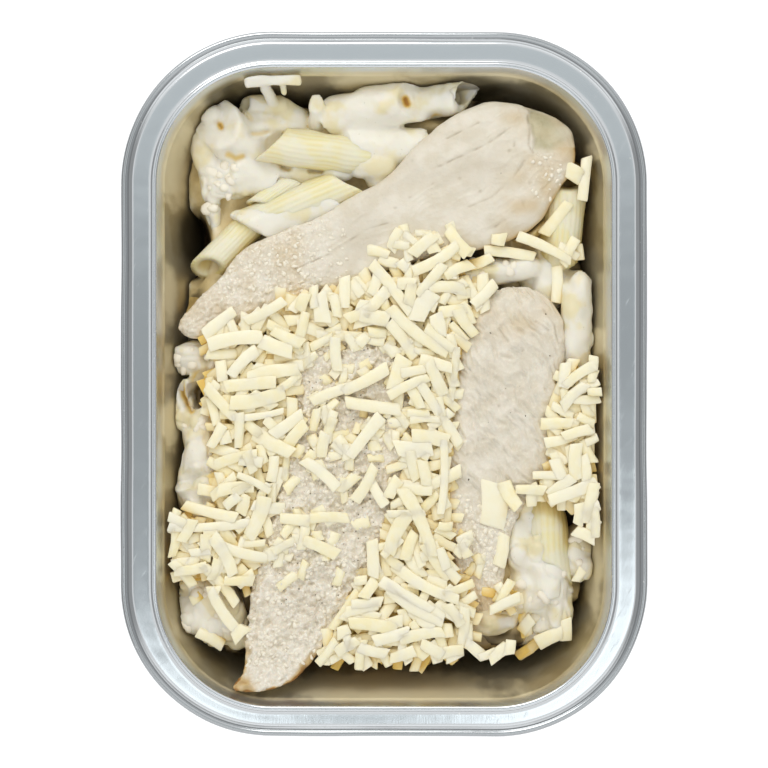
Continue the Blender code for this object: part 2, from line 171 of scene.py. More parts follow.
def add_piece(name, vertices, faces, readings=None):
    # A mesh piece, smooth shaded
    mesh = bpy.data.meshes.new(name)
    mesh.from_pydata(np.asarray(vertices).tolist(), [], [list(face) for face in faces])
    mesh.validate()
    for label, values in (readings or {}).items():
        write_reading(mesh, label, values)
    mesh.shade_smooth()
    mesh.update()
    piece = bpy.data.objects.new(name, mesh)
    bpy.context.scene.collection.objects.link(piece)
    return piece


class Reading:
    # A value that a shader node gives. Sums and products of readings add Math nodes.
    def __init__(self, finish, socket):
        self.finish = finish
        self.socket = socket

    def maths(self, operation, first, second):
        return self.finish.node("Math", {"operation": operation}, {0: first, 1: second})

    def __add__(self, other):
        return self.maths('ADD', self, other)

    def __radd__(self, other):
        return self.maths('ADD', other, self)

    def __sub__(self, other):
        return self.maths('SUBTRACT', self, other)

    def __rsub__(self, other):
        return self.maths('SUBTRACT', other, self)

    def __mul__(self, other):
        return self.maths('MULTIPLY', self, other)

    def __rmul__(self, other):
        return self.maths('MULTIPLY', other, self)

    def __abs__(self):
        return self.maths('ABSOLUTE', self, 0.0)


class Finish:
    # A set of shader nodes under way, for a material or for the sky
    def __init__(self, owner):
        owner.use_nodes = True
        self.owner = owner
        self.tree = owner.node_tree

    def node(self, kind, settings, sockets, output=0):
        made = self.tree.nodes.new("ShaderNode" + kind)
        for name, value in settings.items():
            setattr(made, name, value)
        for name, value in sockets.items():
            self.put(made.inputs[name], value)
        return Reading(self, made.outputs[output])

    def put(self, socket, value):
        if isinstance(value, Reading):
            self.tree.links.new(value.socket, socket)
        elif socket.type == 'RGBA':
            socket.default_value = (*value, 1.0)
        else:
            socket.default_value = value

    def shader(self, sockets):
        principled = self.tree.nodes["Principled BSDF"]
        for name, value in sockets.items():
            self.put(principled.inputs[name], value)

    def place(self):
        return self.node("TexCoord", {}, {}, "Object")

    def reading(self, label):
        return self.node("Attribute", {"attribute_name": label}, {}, "Fac")

    def grain(self, size, detail=2.0, stretch=(1, 1, 1), turn=0.0):
        turned = self.node("Mapping", {}, {"Vector": self.place(), "Rotation": (0, 0, turn)})
        drawn = self.node("VectorMath", {"operation": 'DIVIDE'}, {0: turned, 1: stretch})
        return self.node("TexNoise", {}, {"Vector": drawn, "Scale": 1 / size, "Detail": detail})

    def between(self, value, low, high):
        return self.node("MapRange", {"interpolation_type": 'SMOOTHSTEP'},
                         {"Value": value, "From Min": low, "From Max": high})

    def spots(self, size, detail, low, high):
        # Where grain of that size passes `low`, up to 1 where it reaches `high`
        return self.between(self.grain(size, detail), low, high)

    def mix(self, mask, first, second):
        return self.node("Mix", {"data_type": 'RGBA'}, {0: mask, 6: first, 7: second}, 2)

    def relief(self, height, depth, strength=1.0, over=None):
        sockets = {"Height": height, "Distance": depth, "Strength": strength}
        if over:
            sockets["Normal"] = over
        return self.node("Bump", {}, sockets, "Normal")


def rgb(red, green, blue):
    # A colour as it shows on a screen, 0 to 255, turned into the shader's own numbers
    shares = (red / 255, green / 255, blue / 255)
    return tuple(((s + 0.055) / 1.055) ** 2.4 if s > 0.04 else s / 12.92 for s in shares)


def away_from(patch, x, y):
    # Distance in plan from the middle of an oval patch, which is 1 on its edge
    centre_x, centre_y, half_x, half_y = patch[:4]
    return np.hypot((x - centre_x * MM) / (half_x * MM), (y - centre_y * MM) / (half_y * MM))


def inside_patches(points, patches):
    # From 0 at the edge of the nearest patch to 1 in its middle
    x, y, _ = points.T
    return np.maximum(1 - np.min([away_from(patch, x, y) for patch in patches], axis=0), 0)


def build_tray():
    anchors, outward = around_tray(*TRAY_STEPS)
    section = tray_section()
    rows = []
    for inset, height in section:
        ring = anchors + outward * (TRAY_CORNER - inset)
        rows.append(np.column_stack((ring, np.full(len(ring), height))))
    points = np.concatenate(rows)
    # Hand-formed thin foil is nowhere quite flat
    depth = np.repeat(section[:, 0], len(anchors))
    way_y = np.tile(outward[:, 1], len(section))
    narrower = np.where(way_y > 0, 0, NARROWER_BELOW * way_y ** 2)
    inner = np.clip((depth - 5 * MM) / (2.5 * MM), 0, 1) * np.clip((38 * MM - depth) / (14 * MM), 0, 1)
    inside = np.clip((depth - 12 * MM) / (6 * MM), 0, 1)
    swell = unevenness(points, 21, 3)
    ripple = unevenness(points, 8, 4)
    normal = np.column_stack((np.tile(outward, (len(section), 1)), np.zeros(len(points))))
    points += normal * (narrower * inner)[:, None]
    points -= normal * ((0.35 * swell + 0.12 * ripple) * inside * MM)[:, None]
    edge = np.clip(1.4 - depth / (3.4 * MM), 0, 1)
    points -= normal * (0.4 * MM * noise(points, 17 * MM, 6) * edge)[:, None]
    on_flange = (depth > 2.5 * MM) & (depth < 9.9 * MM)
    points[:, 2] -= np.where(on_flange, 0.05 * MM * noise(points, 26 * MM, 5), 0)
    faces = ring_faces(len(section), len(anchors)).tolist()
    centre = len(points)
    points = np.concatenate((points, [(0, 0, FOIL)]))
    last = centre - len(anchors)
    faces += [(last + i, last + (i + 1) % len(anchors), centre) for i in range(len(anchors))]
    tray = add_piece("foil_tray", points, faces,
                     {"inset": np.append(depth, TRAY_CORNER), "smeared": inside_patches(points, SMEARS),
                      "painted_dark_reflection": inside_patches(points, DARK_REFLECTION_PATCHES)})
    sheet = tray.modifiers.new("Foil", 'SOLIDIFY')
    sheet.thickness = FOIL
    sheet.offset = -1
    sheet.material_offset = 1
    return tray


def foil_finish(name, filmed, metal):
    # Bright rolled aluminium, lightly scuffed, with a thin greasy film where food touches it. Painted
    # shade and reflection darken the bead, the crease and patches of the wall
    finish = Finish(bpy.data.materials.new(name))
    inset = finish.reading("inset")
    film = finish.between(inset, 10.4 * MM, 11.8 * MM) * filmed
    bead = 1 - finish.between(inset, 1.6 * MM, 2.0 * MM)
    crease = finish.between(inset, 1.55 * MM, 1.9 * MM) * (1 - finish.between(inset, 2.0 * MM, 2.4 * MM))
    streaks = finish.grain(2.4 * MM, 3, (1, 1, 9))
    clouds = finish.grain(13 * MM, 3)
    wiped = finish.reading("smeared") + (clouds * 0.7 + streaks * 0.3 - 0.5) * 1.6
    smear = film * finish.between(wiped, 0.2, 0.6)
    dull = film * finish.between(clouds, 0.42, 0.6)
    scuffs = finish.between(finish.grain(0.5 * MM, 3, (1, 14, 1), 0.5), 0.62, 0.72)
    specks = finish.spots(0.9 * MM, 1, 0.76, 0.8)
    # A greasy film, its warm tint also a painted reflection of the food beside the wall
    film_and_reflection_tint = finish.mix(dull, rgb(217, 207, 177), rgb(197, 184, 148))
    bare = finish.mix(film, metal, film_and_reflection_tint)
    # Painted reflection: the bead is painted a darker grey than bare foil, standing in for a dimmer
    # reflection
    rolled = finish.mix(bead * 0.55, bare, rgb(150, 154, 156))
    # Painted shade: a dark grey line along the crease between bead and flange
    crease_shaded = finish.mix(crease * 0.8, rolled, rgb(92, 96, 98))
    smeared = finish.mix(smear * 0.8, crease_shaded, rgb(230, 218, 182))
    # Painted reflection: dark brown patches on the wall where it would mirror the dark gaps
    painted_dark_reflection = film * finish.between(finish.reading("painted_dark_reflection"), 0.0, 0.5)
    darkened = finish.mix(painted_dark_reflection * 0.8, smeared, rgb(98, 88, 62))
    colour = finish.mix(specks * 0.5 * (1 - film), darkened, rgb(248, 248, 246))
    step = finish.between(inset, 9.6 * MM, 10.4 * MM)
    rough = 0.13 + scuffs * 0.12 + step * 0.22 + smear * 0.15
    waves = finish.relief(finish.grain(11 * MM, 2), 0.12 * MM, 0.5)
    finish.shader({
        "Base Color": colour, "Metallic": 1 - film * 0.3 - smear * 0.5, "Roughness": rough,
        "Normal": finish.relief(finish.grain(0.35 * MM, 2, (1, 6, 1)), 0.015 * MM, 0.3, waves)})
    return finish.owner


tray = build_tray()
tray.data.materials.append(foil_finish("foil_inside", 1.0, rgb(216, 220, 223)))
tray.data.materials.append(foil_finish("foil_outside", 0.0, rgb(180, 184, 188)))
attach(tray, "root")
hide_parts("tray")


# Under everything is the bulk of the pasta in its sauce. Little of it shows, in the gaps
# between the pieces on top and along the wall, where it has sunk into shade, painted golden to dark brown.

# The grid in plan that heaps are made on: its step, and half its width and length
FIELD_STEP = 0.7 * MM
FIELD_HALF = (60 * MM, 84 * MM)
LOWEST_FOOD = 3 * MM
# The height of the heap's rim and how far it stays from the wall
PASTA_EDGE = 21 * MM
PASTA_CLEAR = 0.9 * MM
# Places where the pasta leaves a dark hollow: centre, half width, half length and depth
HOLLOWS = (
    (-43, 79, 9, 5, 18), (-19, 80.5, 10, 4.5, 18), (-52, 38, 5, 10, 16), (42, 76, 16, 8, 17),
    (56, 43, 4, 11, 12), (-53, -77, 10, 9, 16), (4, -79, 62, 8, 17), (54, -72, 7, 12, 16),
    (-57, -4, 3, 8, 7), (56, 8, 3, 9, 8),
)


def past_arc_middles(x, y):
    # How far points in plan are beyond the middles of the corners' arcs, in x and in y
    return np.maximum(np.abs(x) - ARC_MIDDLE[0], 0), np.maximum(np.abs(y) - ARC_MIDDLE[1], 0)


def from_wall(x, y, height):
    # How far points in plan are inside the wall at a height, less than 0 outside it
    return TRAY_CORNER - wall_inset(height) - np.hypot(*past_arc_middles(x, y))


def hold_inside(points, clear):
    # Draws in the points that are nearer to the wall than `clear`, each at its own height
    x, y, height = points.T
    room = from_wall(x, y, height) - clear
    past_x, past_y = past_arc_middles(x, y)
    reach = np.maximum(np.hypot(past_x, past_y), 1e-6)
    drawn = np.where(room < 0, room / reach, 0)
    return np.column_stack((x + past_x * np.sign(x) * drawn, y + past_y * np.sign(y) * drawn, height))


def heap_inside_wall(surface, edge_height, clear):
    # A heaped surface over the tray's plan, whose rim follows the wall and hangs down it
    across, along = [np.arange(-half, half, FIELD_STEP) for half in FIELD_HALF]
    x, y = np.meshgrid(across, along, indexing="ij")
    x, y = x.reshape(-1), y.reshape(-1)
    room = from_wall(x, y, edge_height) - clear
    points = hold_inside(np.column_stack((x, y, np.full(len(x), edge_height))), clear)
    height = surface(points[:, 0], points[:, 1], np.maximum(room, 0)) + np.minimum(room, 0) * 2.0
    points[:, 2] = np.maximum(height, LOWEST_FOOD)
    faces = open_faces(len(across), len(along))
    faces = faces[(room[faces] > -3 * FIELD_STEP).all(axis=1)]
    used, corners = np.unique(faces, return_inverse=True)
    return hold_inside(points, clear)[used], corners.reshape(-1, 4).tolist()


def open_faces(rows, columns):
    # The quads of a plain grid
    first = np.arange(rows * columns).reshape(rows, columns)
    corners = (first[:-1, :-1], first[1:, :-1], first[1:, 1:], first[:-1, 1:])
    return np.stack(corners, axis=-1).reshape(-1, 4)


def ease(value):
    value = np.clip(value, 0, 1)
    return value * value * (3 - 2 * value)


def hollowed(x, y):
    depth = np.zeros(len(x))
    for hollow in HOLLOWS:
        flank = ease((away_from(hollow, x, y) - 0.55) / 0.6)
        depth = np.maximum(depth, hollow[4] * MM * (1 - flank))
    return depth


def pasta_surface(x, y, room):
    flat = np.column_stack((x, y, np.zeros(len(x))))
    bumps = unevenness(flat, 8, 11, 4.5) + unevenness(flat, 3.2, 12, 1.8)
    bumps += unevenness(flat, 1.4, 13, 0.4)
    level = (21 + 5.5 * ease(room / (8 * MM)) + bumps) * MM
    return level - hollowed(x, y)


points, faces = heap_inside_wall(pasta_surface, PASTA_EDGE, PASTA_CLEAR)
pasta_bulk = add_piece("pasta_bulk", points, faces)


def painted_gap_shade(finish, pale, golden, dark, start=1.2):
    # Painted light and shade: cream things turn golden, then brown, further down a gap, standing in for
    # light passed through one another and the shade below
    depth = finish.reading("depth")
    warmed = finish.mix(finish.between(depth, start * MM, 5.5 * MM), pale, golden)
    return finish.mix(finish.between(depth, 6.5 * MM, 13 * MM), warmed, dark)


def bulk_finish():
    finish = Finish(bpy.data.materials.new("pasta_bulk"))
    mottle = finish.spots(4 * MM, 3, 0.4, 0.6)
    pale = finish.mix(mottle, rgb(228, 216, 176), rgb(236, 230, 212))
    finish.shader({
        # Painted shade: golden, then dark brown, down the gaps
        "Base Color": painted_gap_shade(finish, pale, rgb(216, 196, 146), rgb(56, 42, 22)),
        "Roughness": 0.4 + 0.2 * mottle,
        "Normal": finish.relief(finish.grain(1.5 * MM, 3), 0.5 * MM, 0.6)})
    return finish.owner


pasta_bulk.data.materials.append(bulk_finish())
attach(pasta_bulk, "root")
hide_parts("pasta_in_sauce")


# Penne are short ridged pasta tubes, cut on the slant. These are the ones whose bare
# yellow ridges show; each lies where the heap has one, half drowned in sauce.

RIDGES = 24
RIDGE_HEIGHT = 0.15 * MM
# How far the slanting cut runs along the tube, as a share of the radius
PASTA_CUT = 0.8
# Start, end and diameter in millimetres, bore radius, how far the middle bows up, and to
# which side the slanting cut leans, in degrees round the tube
BARE_PENNE = (
    ((0, 60.8, 27.5), (-31, 65.2, 30), 10.6, 3.6, 1.2, -75),
    ((-10.2, 54.2, 28.5), (-33.5, 44.2, 27.5), 10.8, 3.8, 0.8, 80),
    ((-25.5, 54.5, 28.5), (-33.8, 48.5, 29), 6.4, 2.0, 0.0, 60),
    ((-35.5, 44.5, 26), (-48, 31.8, 28), 8.6, 2.6, 0.6, 30),
    ((48, 36, 26), (50, 57, 27.5), 11.5, 4.0, 1.0, 0),
    ((44.0, -33.5, 27.2), (45.2, -52, 28.2), 11.6, 3.8, 0.4, -40),
    ((38.5, -56, 21), (38.5, -67, 19), 7.0, 2.2, 0.0, 0),
)


def close_ends(faces, count, around):
    # Caps the first and the last ring of a tube that has `count` points
    faces.append(list(range(around))[::-1])
    faces.append(list(range(count - around, count)))


def penne_tube(start, end, diameter, bore, bow, lean, ridge, around, step):
    # One tube: the outer skin from start to end and, where it is hollow, the bore back
    start = np.array(start, float) * MM
    end = np.array(end, float) * MM
    length = np.linalg.norm(end - start)
    axis = (end - start) / length
    side = np.cross(axis, (0, 0, 1))
    side /= np.linalg.norm(side)
    down = np.cross(axis, side)
    if down[2] > 0:
        down = -down
    rows = max(6, int(length / step))
    share = np.linspace(-0.5, 0.5, rows)[:, None]
    angle = np.linspace(0, 2 * math.pi, around, endpoint=False)[None, :]
    crest = 0.5 + 0.5 * np.cos(RIDGES * angle)
    rings = []
    crests = []
    skins = [(diameter / 2 * MM, ridge, share)]
    if bore:
        skins.append((bore * MM, 0.0, share[::-1]))
    for radius, height, along in skins:
        reach = radius + height * (crest - 1)
        low = reach * np.cos(angle)
        across = reach * np.sin(angle)
        forward = along * length + PASTA_CUT * reach * np.cos(angle - math.radians(lean))
        sunk = low - bow * MM * (1 - 4 * along ** 2)
        rings.append((start + end) / 2 + forward[..., None] * axis
                     + (sunk + 0 * along)[..., None] * down + (across + 0 * along)[..., None] * side)
        crests.append(np.broadcast_to(crest, sunk.shape) * (1 if height else 0))
    points = np.concatenate(rings).reshape(-1, 3)
    count = rings[0].shape[0] * len(rings)
    faces = ring_faces(count, around).tolist()
    if bore:
        last = (count - 1) * around
        faces += [(last + i, last + (i + 1) % around, (i + 1) % around, i) for i in range(around)]
    else:
        close_ends(faces, len(points), around)
    return points, faces, np.concatenate(crests).reshape(-1)


def gather(parts):
    # Several meshes as one list of points, faces and readings
    points = []
    faces = []
    readings = []
    start = 0
    for part_points, part_faces, part_readings in parts:
        points.append(part_points)
        faces += [[corner + start for corner in face] for face in part_faces]
        readings.append(part_readings)
        start += len(part_points)
    return np.concatenate(points), faces, np.concatenate(readings)


points, faces, crests = gather([
    penne_tube(*tube, RIDGE_HEIGHT, 4 * RIDGES, 0.9 * MM) for tube in BARE_PENNE])
points += unevenness(points, 5, 21, 0.5 * MM)[:, None]
penne = add_piece("bare_penne", points, faces, {"crest": crests})


def penne_finish():
    finish = Finish(bpy.data.materials.new("penne"))
    crest = finish.reading("crest")
    milky = finish.spots(7 * MM, 3, 0.36, 0.6)
    bare = finish.mix(crest, rgb(236, 229, 192), rgb(232, 220, 166))
    coated = finish.mix(milky * 0.8, bare, rgb(235, 230, 208))
    finish.shader({
        # Painted shade: golden, then brown, down the gaps
        "Base Color": painted_gap_shade(finish, coated, rgb(218, 198, 132), rgb(140, 112, 60)),
        "Roughness": 0.34 + 0.12 * milky,
        "Subsurface Weight": 0.35, "Subsurface Radius": (2.4, 1.7, 0.8), "Subsurface Scale": MM,
        "Normal": finish.relief(finish.grain(0.8 * MM, 2), 0.08 * MM, 0.5)})
    return finish.owner


penne.data.materials.append(penne_finish())
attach(penne, "root")
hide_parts("pasta_in_sauce")


# The white sauce is thick and clings: tubes are coated until their ridges are gone, and
# lumps of it sit between them. It sets as one skin over whatever it covers.

# The coated tubes, given as the bare ones are
COATED_PENNE = (
    ((-35.5, 62.5, 25), (-45.5, 71.2, 30.5), 13.0, 0.0, 0.0, 10),
    ((-33, 56, 26), (-44, 60, 27), 10.5, 0.0, 0.0, 0),
    ((-24, 57, 25), (-34, 59.5, 26), 8.0, 0.0, 0.0, 0),
    ((9, 64, 27), (-14, 65, 28.5), 11.6, 0.0, 0.6, 0),
    ((-14, 50, 28), (-35.5, 42.3, 27.8), 11.6, 0.0, 0.0, 90),
    ((-12, 73, 27), (9.5, 77.5, 31), 12.0, 0.0, 0.8, 0),
    ((10, 76.5, 27.5), (22.5, 79.2, 31), 9.6, 3.3, 0.0, -50),
    ((-23, 72.5, 25), (-29, 75.8, 27.5), 6.0, 1.6, 0.6, 0),
    ((-28, 76, 27.5), (-38, 76.5, 27), 5.0, 1.6, 0.4, 0),
    ((-25, 70, 25.5), (-38, 68.8, 27.5), 6.4, 0.0, 0.8, 0),
    ((-18.3, 70, 27), (-18.4, 76.0, 33.4), 4.2, 0.0, 0.0, 0),
    ((-44.5, -4, 22), (-50, -3, 30), 11.5, 4.0, 0.0, 0),
    ((52, 5.5, 29), (52.4, 28, 31), 8.6, 0.0, 0.6, 0),
    ((44, 22.5, 25.5), (46, 37, 27), 9.0, 0.0, 0.6, 0),
    ((43.5, -45, 27.4), (45.4, -63, 27.4), 12.6, 0.0, 0.0, 0),
    ((40.5, -38, 27.2), (38.6, -52, 27.0), 9.5, 0.0, 0.0, 0),
    ((-42.5, -30.5, 29), (-52.5, -26, 30.5), 9.0, 0.0, 0.0, -60),
    ((-49.0, -10.5, 27), (-50.5, -27, 29), 10.6, 0.0, 0.8, 0),
    ((-38, -37.5, 29), (-54, -34, 30.2), 8.6, 0.0, 0.0, 40),
    ((-16, -68, 20), (-5, -71, 18), 7.0, 0.0, 0.0, 0),
    ((8, -70, 19.5), (19, -71, 18), 7.0, 0.0, 0.0, 0),
    ((23, -68, 20), (33, -71, 18), 6.5, 0.0, 0.0, 0),
)
# The centre of each lump of sauce, then how wide, long and high it is
SAUCE_LUMPS = (
    (-47, 5.5, 27, 20, 8.5, 9), (-53, 7.5, 27.5, 9, 5, 6), (-42.5, 3.2, 28, 8, 4, 5),
    (-50, -16, 26, 11, 15, 11), (-53, -10.5, 28, 6.5, 5, 5), (-49, -22, 28, 9, 9, 6),
    (-47.5, -59, 26, 18, 22, 13), (-51, -64, 27.5, 10, 10, 9), (-42.5, -66, 26.5, 11, 9, 9),
    (-44, -57, 30, 8, 12, 7), (-52, -54, 29, 8, 9, 7), (-47.5, -66, 30, 7, 10, 6),
    (31, 30.8, 29, 21, 7.5, 9), (24, 28.5, 30.5, 11, 6, 6), (37.5, 31.8, 30.5, 11, 7, 6),
    (52.5, -46, 25.5, 9, 16, 11), (44.5, -66, 24, 11, 9, 10), (47.5, -57, 27, 9, 8, 8),
    (42, -48, 31, 10, 7, 5), (38.5, -55, 29, 9, 8, 7), (53.5, -50, 28.5, 6.5, 7, 6),
    (29, -63.5, 26.5, 13, 8, 7), (34.5, -58.5, 27.5, 6, 6, 6), (-41, 57, 26, 14, 13, 8),
    (-47.5, 57, 25, 7, 17, 9), (-49.5, 64, 25, 7, 12, 9), (-46.5, 48, 25, 4.5, 13, 7),
    (-44, 53, 28, 8, 6, 5), (-38.5, 53.5, 28, 7, 5, 4), (-8, 66, 25.5, 26, 13, 8),
    (-28, 68, 25.5, 20, 10, 7), (-13, 71, 26, 13, 5, 6), (5, 62, 26.5, 18, 10, 8),
    (44, 30, 25.5, 14, 16, 8), (53, 25, 31, 7, 12, 8), (52.6, 12, 31, 7, 9, 7),
    (-50, -45, 24, 12, 14, 10), (-3, 60, 30, 15, 10, 8), (-1, 55.5, 28.5, 9, 6, 6),
    (-21, 57.5, 27.5, 20, 7.5, 6), (36.8, -44, 29.5, 7.5, 17, 8), (37.2, -57, 28.5, 8, 15, 8),
    (28.5, -64.5, 28.5, 17, 9, 8), (22, -65, 27, 9, 7, 7), (47.5, -61, 27.5, 8.5, 16, 9),
    (38.5, -34, 28.5, 7, 9, 7), (45, -54, 30.5, 9, 12, 6), (-52, 8, 28.5, 12, 8, 7),
    (-55, -8, 27, 6, 9, 7), (-52.5, -62, 24, 8, 16, 9), (-13, 57.8, 29, 10, 5.5, 5),
    (-31, 57.5, 27, 10, 8, 7), (-43, -64, 29, 13, 13, 9), (-39.5, -69, 26.5, 9, 8, 8),
    (-46, -68.5, 27.5, 9, 8, 8), (28, -68.8, 22.5, 17, 8, 7), (38.5, -67.8, 22, 12, 7, 7),
    (-46.8, 73.2, 29, 7, 6, 6), (-24, 59.8, 28, 9, 4, 5), (-36, 64.5, 27, 9, 8, 7),
    (-33, 72, 25.5, 12, 6, 6), (-12, 44.5, 31.5, 5, 3, 3), (-23, 41.5, 31.5, 5, 3, 3),
    (56.2, 12, 29, 3.5, 4.5, 4),
)
# Torn strips of pasta: start, end, thickness and width
SCRAPS = (
    ((-37.5, 81.8, 37.6), (-22.3, 82.4, 37.6), 1.8, 4.2),
    ((-32.0, 80.4, 36.4), (-29.6, 75.5, 29.0), 2.0, 3.0),
    ((-27.4, 81.0, 36.6), (-26.8, 78.2, 34.6), 1.4, 1.8),
)
SAUCE_VOXEL = 0.5 * MM
SAUCE_CLEAR = 0.5 * MM
OPENING_DEPTH = 2.6 * MM
# Tube ends that stay open in the sauce: a line across the opening, half its width, and
# how far it opens, up to 1
# The openings are also painted golden to brown, standing in for the shade inside the tubes
OPENINGS = (
    (((-44.7, 70.5), (-44.4, 69.9)), 0.85, 0.85),
    (((-42.4, 62.4), (-40.4, 61.4), (-38.4, 61.9)), 0.9, 0.6), (((6.0, 77.4), (6.5, 76.0)), 1.0, 1.0),
    (((-35.5, 68.0), (-32.0, 68.4)), 0.9, 0.45),
    (((-55.4, 1.6), (-54.6, -3.2), (-52.2, -7.4)), 0.8, 0.9), (((-50.6, 1.6), (-49.6, -2.4)), 2.0, 0.8),
    (((14.2, 72.4), (16.4, 71.0)), 1.2, 1.0), (((-27.5, 59.4), (-26.0, 58.8)), 0.8, 0.9),
    (((-20, 58.2), (-17, 58.0)), 0.6, 0.9), (((19.4, 79.4), (20.4, 77.2)), 1.2, 0.5),
    (((37.5, -63), (37.5, -69)), 1.6, 0.7),
)


def ball(subdivisions):
    # The points and faces of a ball that is 1 across
    shape = bmesh.new()
    bmesh.ops.create_icosphere(shape, subdivisions=subdivisions, radius=0.5)
    points = np.array([vertex.co for vertex in shape.verts])
    faces = [[vertex.index for vertex in face.verts] for face in shape.faces]
    shape.free()
    return points, faces


def lump_of_sauce(x, y, z, wide, long, high):
    points, faces = ball(3)
    points = points * np.array((wide, long, high)) * MM + np.array((x, y, z)) * MM
    return points, faces, np.zeros(len(points))


def scrap_of_pasta(start, end, thick, wide):
    # A flat torn strip, rounded at its ends
    start = np.array(start, float) * MM
    end = np.array(end, float) * MM
    axis = end - start
    side = np.array((-axis[1], axis[0], 0.0))
    side /= np.linalg.norm(side)
    up = np.cross(axis, side)
    up /= np.linalg.norm(up)
    angle = np.linspace(0, 2 * math.pi, 16, endpoint=False)
    rings = []
    for share in np.linspace(0, 1, 9):
        taper = 0.95 if share in (0.0, 1.0) else 1.0
        rings.append(start + axis * share
                     + np.cos(angle)[:, None] * side * wide / 2 * MM * taper
                     + np.sin(angle)[:, None] * up * thick / 2 * MM * taper)
    points = np.concatenate(rings)
    faces = ring_faces(9, 16).tolist()
    close_ends(faces, len(points), 16)
    return points, faces, np.zeros(len(points))


def merge_softly(piece, voxel, smoothing):
    # Melts overlapping shapes into one skin and rounds the valleys where they meet
    remesh = piece.modifiers.new("Skin", 'REMESH')
    remesh.mode = 'VOXEL'
    remesh.voxel_size = voxel
    smooth = piece.modifiers.new("Rounded", 'SMOOTH')
    smooth.factor = 0.5
    smooth.iterations = smoothing
    bpy.context.view_layer.update()
    evaluated = piece.evaluated_get(bpy.context.evaluated_depsgraph_get())
    joined = bpy.data.meshes.new_from_object(evaluated)
    piece.modifiers.clear()
    old = piece.data
    piece.data = joined
    bpy.data.meshes.remove(old)
    joined.shade_smooth()


def points_of(piece):
    flat = np.zeros(3 * len(piece.data.vertices))
    piece.data.vertices.foreach_get("co", flat)
    return flat.reshape(-1, 3)


def normals_of(piece):
    flat = np.zeros(3 * len(piece.data.vertices), np.float32)
    piece.data.vertices.foreach_get("normal", flat)
    return flat.reshape(-1, 3).astype(float)


def move_points(piece, points):
    piece.data.vertices.foreach_set("co", np.asarray(points, np.float32).reshape(-1))
    piece.data.update()


def near_line(points, line):
    # Distance in plan from each point to a line of a few straight runs, in metres
    nearest = np.full(len(points), np.inf)
    line = np.array(line, float) * MM
    for start, end in zip(line, line[1:]):
        run = end - start
        share = np.clip(((points[:, :2] - start) @ run) / (run @ run), 0, 1)
        away = points[:, :2] - start - share[:, None] * run
        nearest = np.minimum(nearest, np.hypot(away[:, 0], away[:, 1]))
    return nearest


def opened_at(points):
    # From 0 on the sauce to 1 in the middle of an opening
    opened = np.zeros(len(points))
    for line, half_width, most in OPENINGS:
        away = near_line(points, line) / (half_width * MM)
        opened = np.maximum(opened, most * np.exp(-0.8 * away ** 2))
    return opened


parts = [penne_tube(*tube, 0.0, 40, 1.0 * MM) for tube in COATED_PENNE]
parts += [lump_of_sauce(*lump) for lump in SAUCE_LUMPS]
parts += [scrap_of_pasta(*scrap) for scrap in SCRAPS]
points, faces, _ = gather(parts)
sauced = add_piece("sauced_penne", points, faces)
merge_softly(sauced, SAUCE_VOXEL, 5)
points = points_of(sauced)
swell = unevenness(points, 5, 31, 1.4) + unevenness(points, 2.2, 32, 0.55)
# The lumps fold over one another at the lower end and in the upper left corner
lumpy = np.maximum(ease(-points[:, 1] / (20 * MM)),
                   ease((-37 * MM - points[:, 0]) / (4 * MM)) * ease((62 * MM - points[:, 1]) / (4 * MM)))
folds = np.clip(1 - np.abs(unevenness(points, 4.6, 34)) / 0.09, 0, 1)
swell += lumpy * (unevenness(points, 3.4, 35, 1.2) - 0.55 * folds)
opened = opened_at(points) * (normals_of(sauced)[:, 2] > 0)
points = points + normals_of(sauced) * (swell * MM)[:, None]
points[:, 2] -= OPENING_DEPTH * opened
move_points(sauced, hold_inside(points, SAUCE_CLEAR))
write_reading(sauced.data, "opened", opened)


def sauce_finish():
    finish = Finish(bpy.data.materials.new("white_sauce"))
    thin = finish.spots(9 * MM, 3, 0.46, 0.62)
    flecks = finish.spots(0.8 * MM, 1, 0.74, 0.78)
    creamy = finish.mix(thin, rgb(237, 233, 219), rgb(233, 223, 186))
    pale = finish.mix(flecks * 0.3, creamy, rgb(176, 164, 128))
    opened = finish.reading("opened")
    # Painted shade inside the tube openings: golden, then brown where they open most
    hollow = finish.mix(finish.between(opened, 0.55, 1.0), rgb(236, 208, 128), rgb(184, 132, 50))
    pale = finish.mix(finish.between(opened, 0.15, 0.7), pale, hollow)
    finish.shader({
        # Painted shade: golden, then brown, down the gaps
        "Base Color": painted_gap_shade(finish, pale, rgb(235, 224, 190), rgb(140, 118, 76), 4.2),
        "Roughness": 0.36 + 0.14 * finish.grain(3 * MM),
        "Subsurface Weight": 0.35, "Subsurface Radius": (2.4, 1.9, 1.1), "Subsurface Scale": MM,
        "Normal": finish.relief(finish.grain(1.1 * MM, 3), 0.16 * MM, 0.5)})
    return finish.owner


sauced.data.materials.append(sauce_finish())
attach(sauced, "root")
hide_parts("pasta_in_sauce")


# Three pieces of cooked chicken breast lie on top, each one slice with a rounded edge.
# A piece is a row of stations along it: left edge, right edge, underside and top.

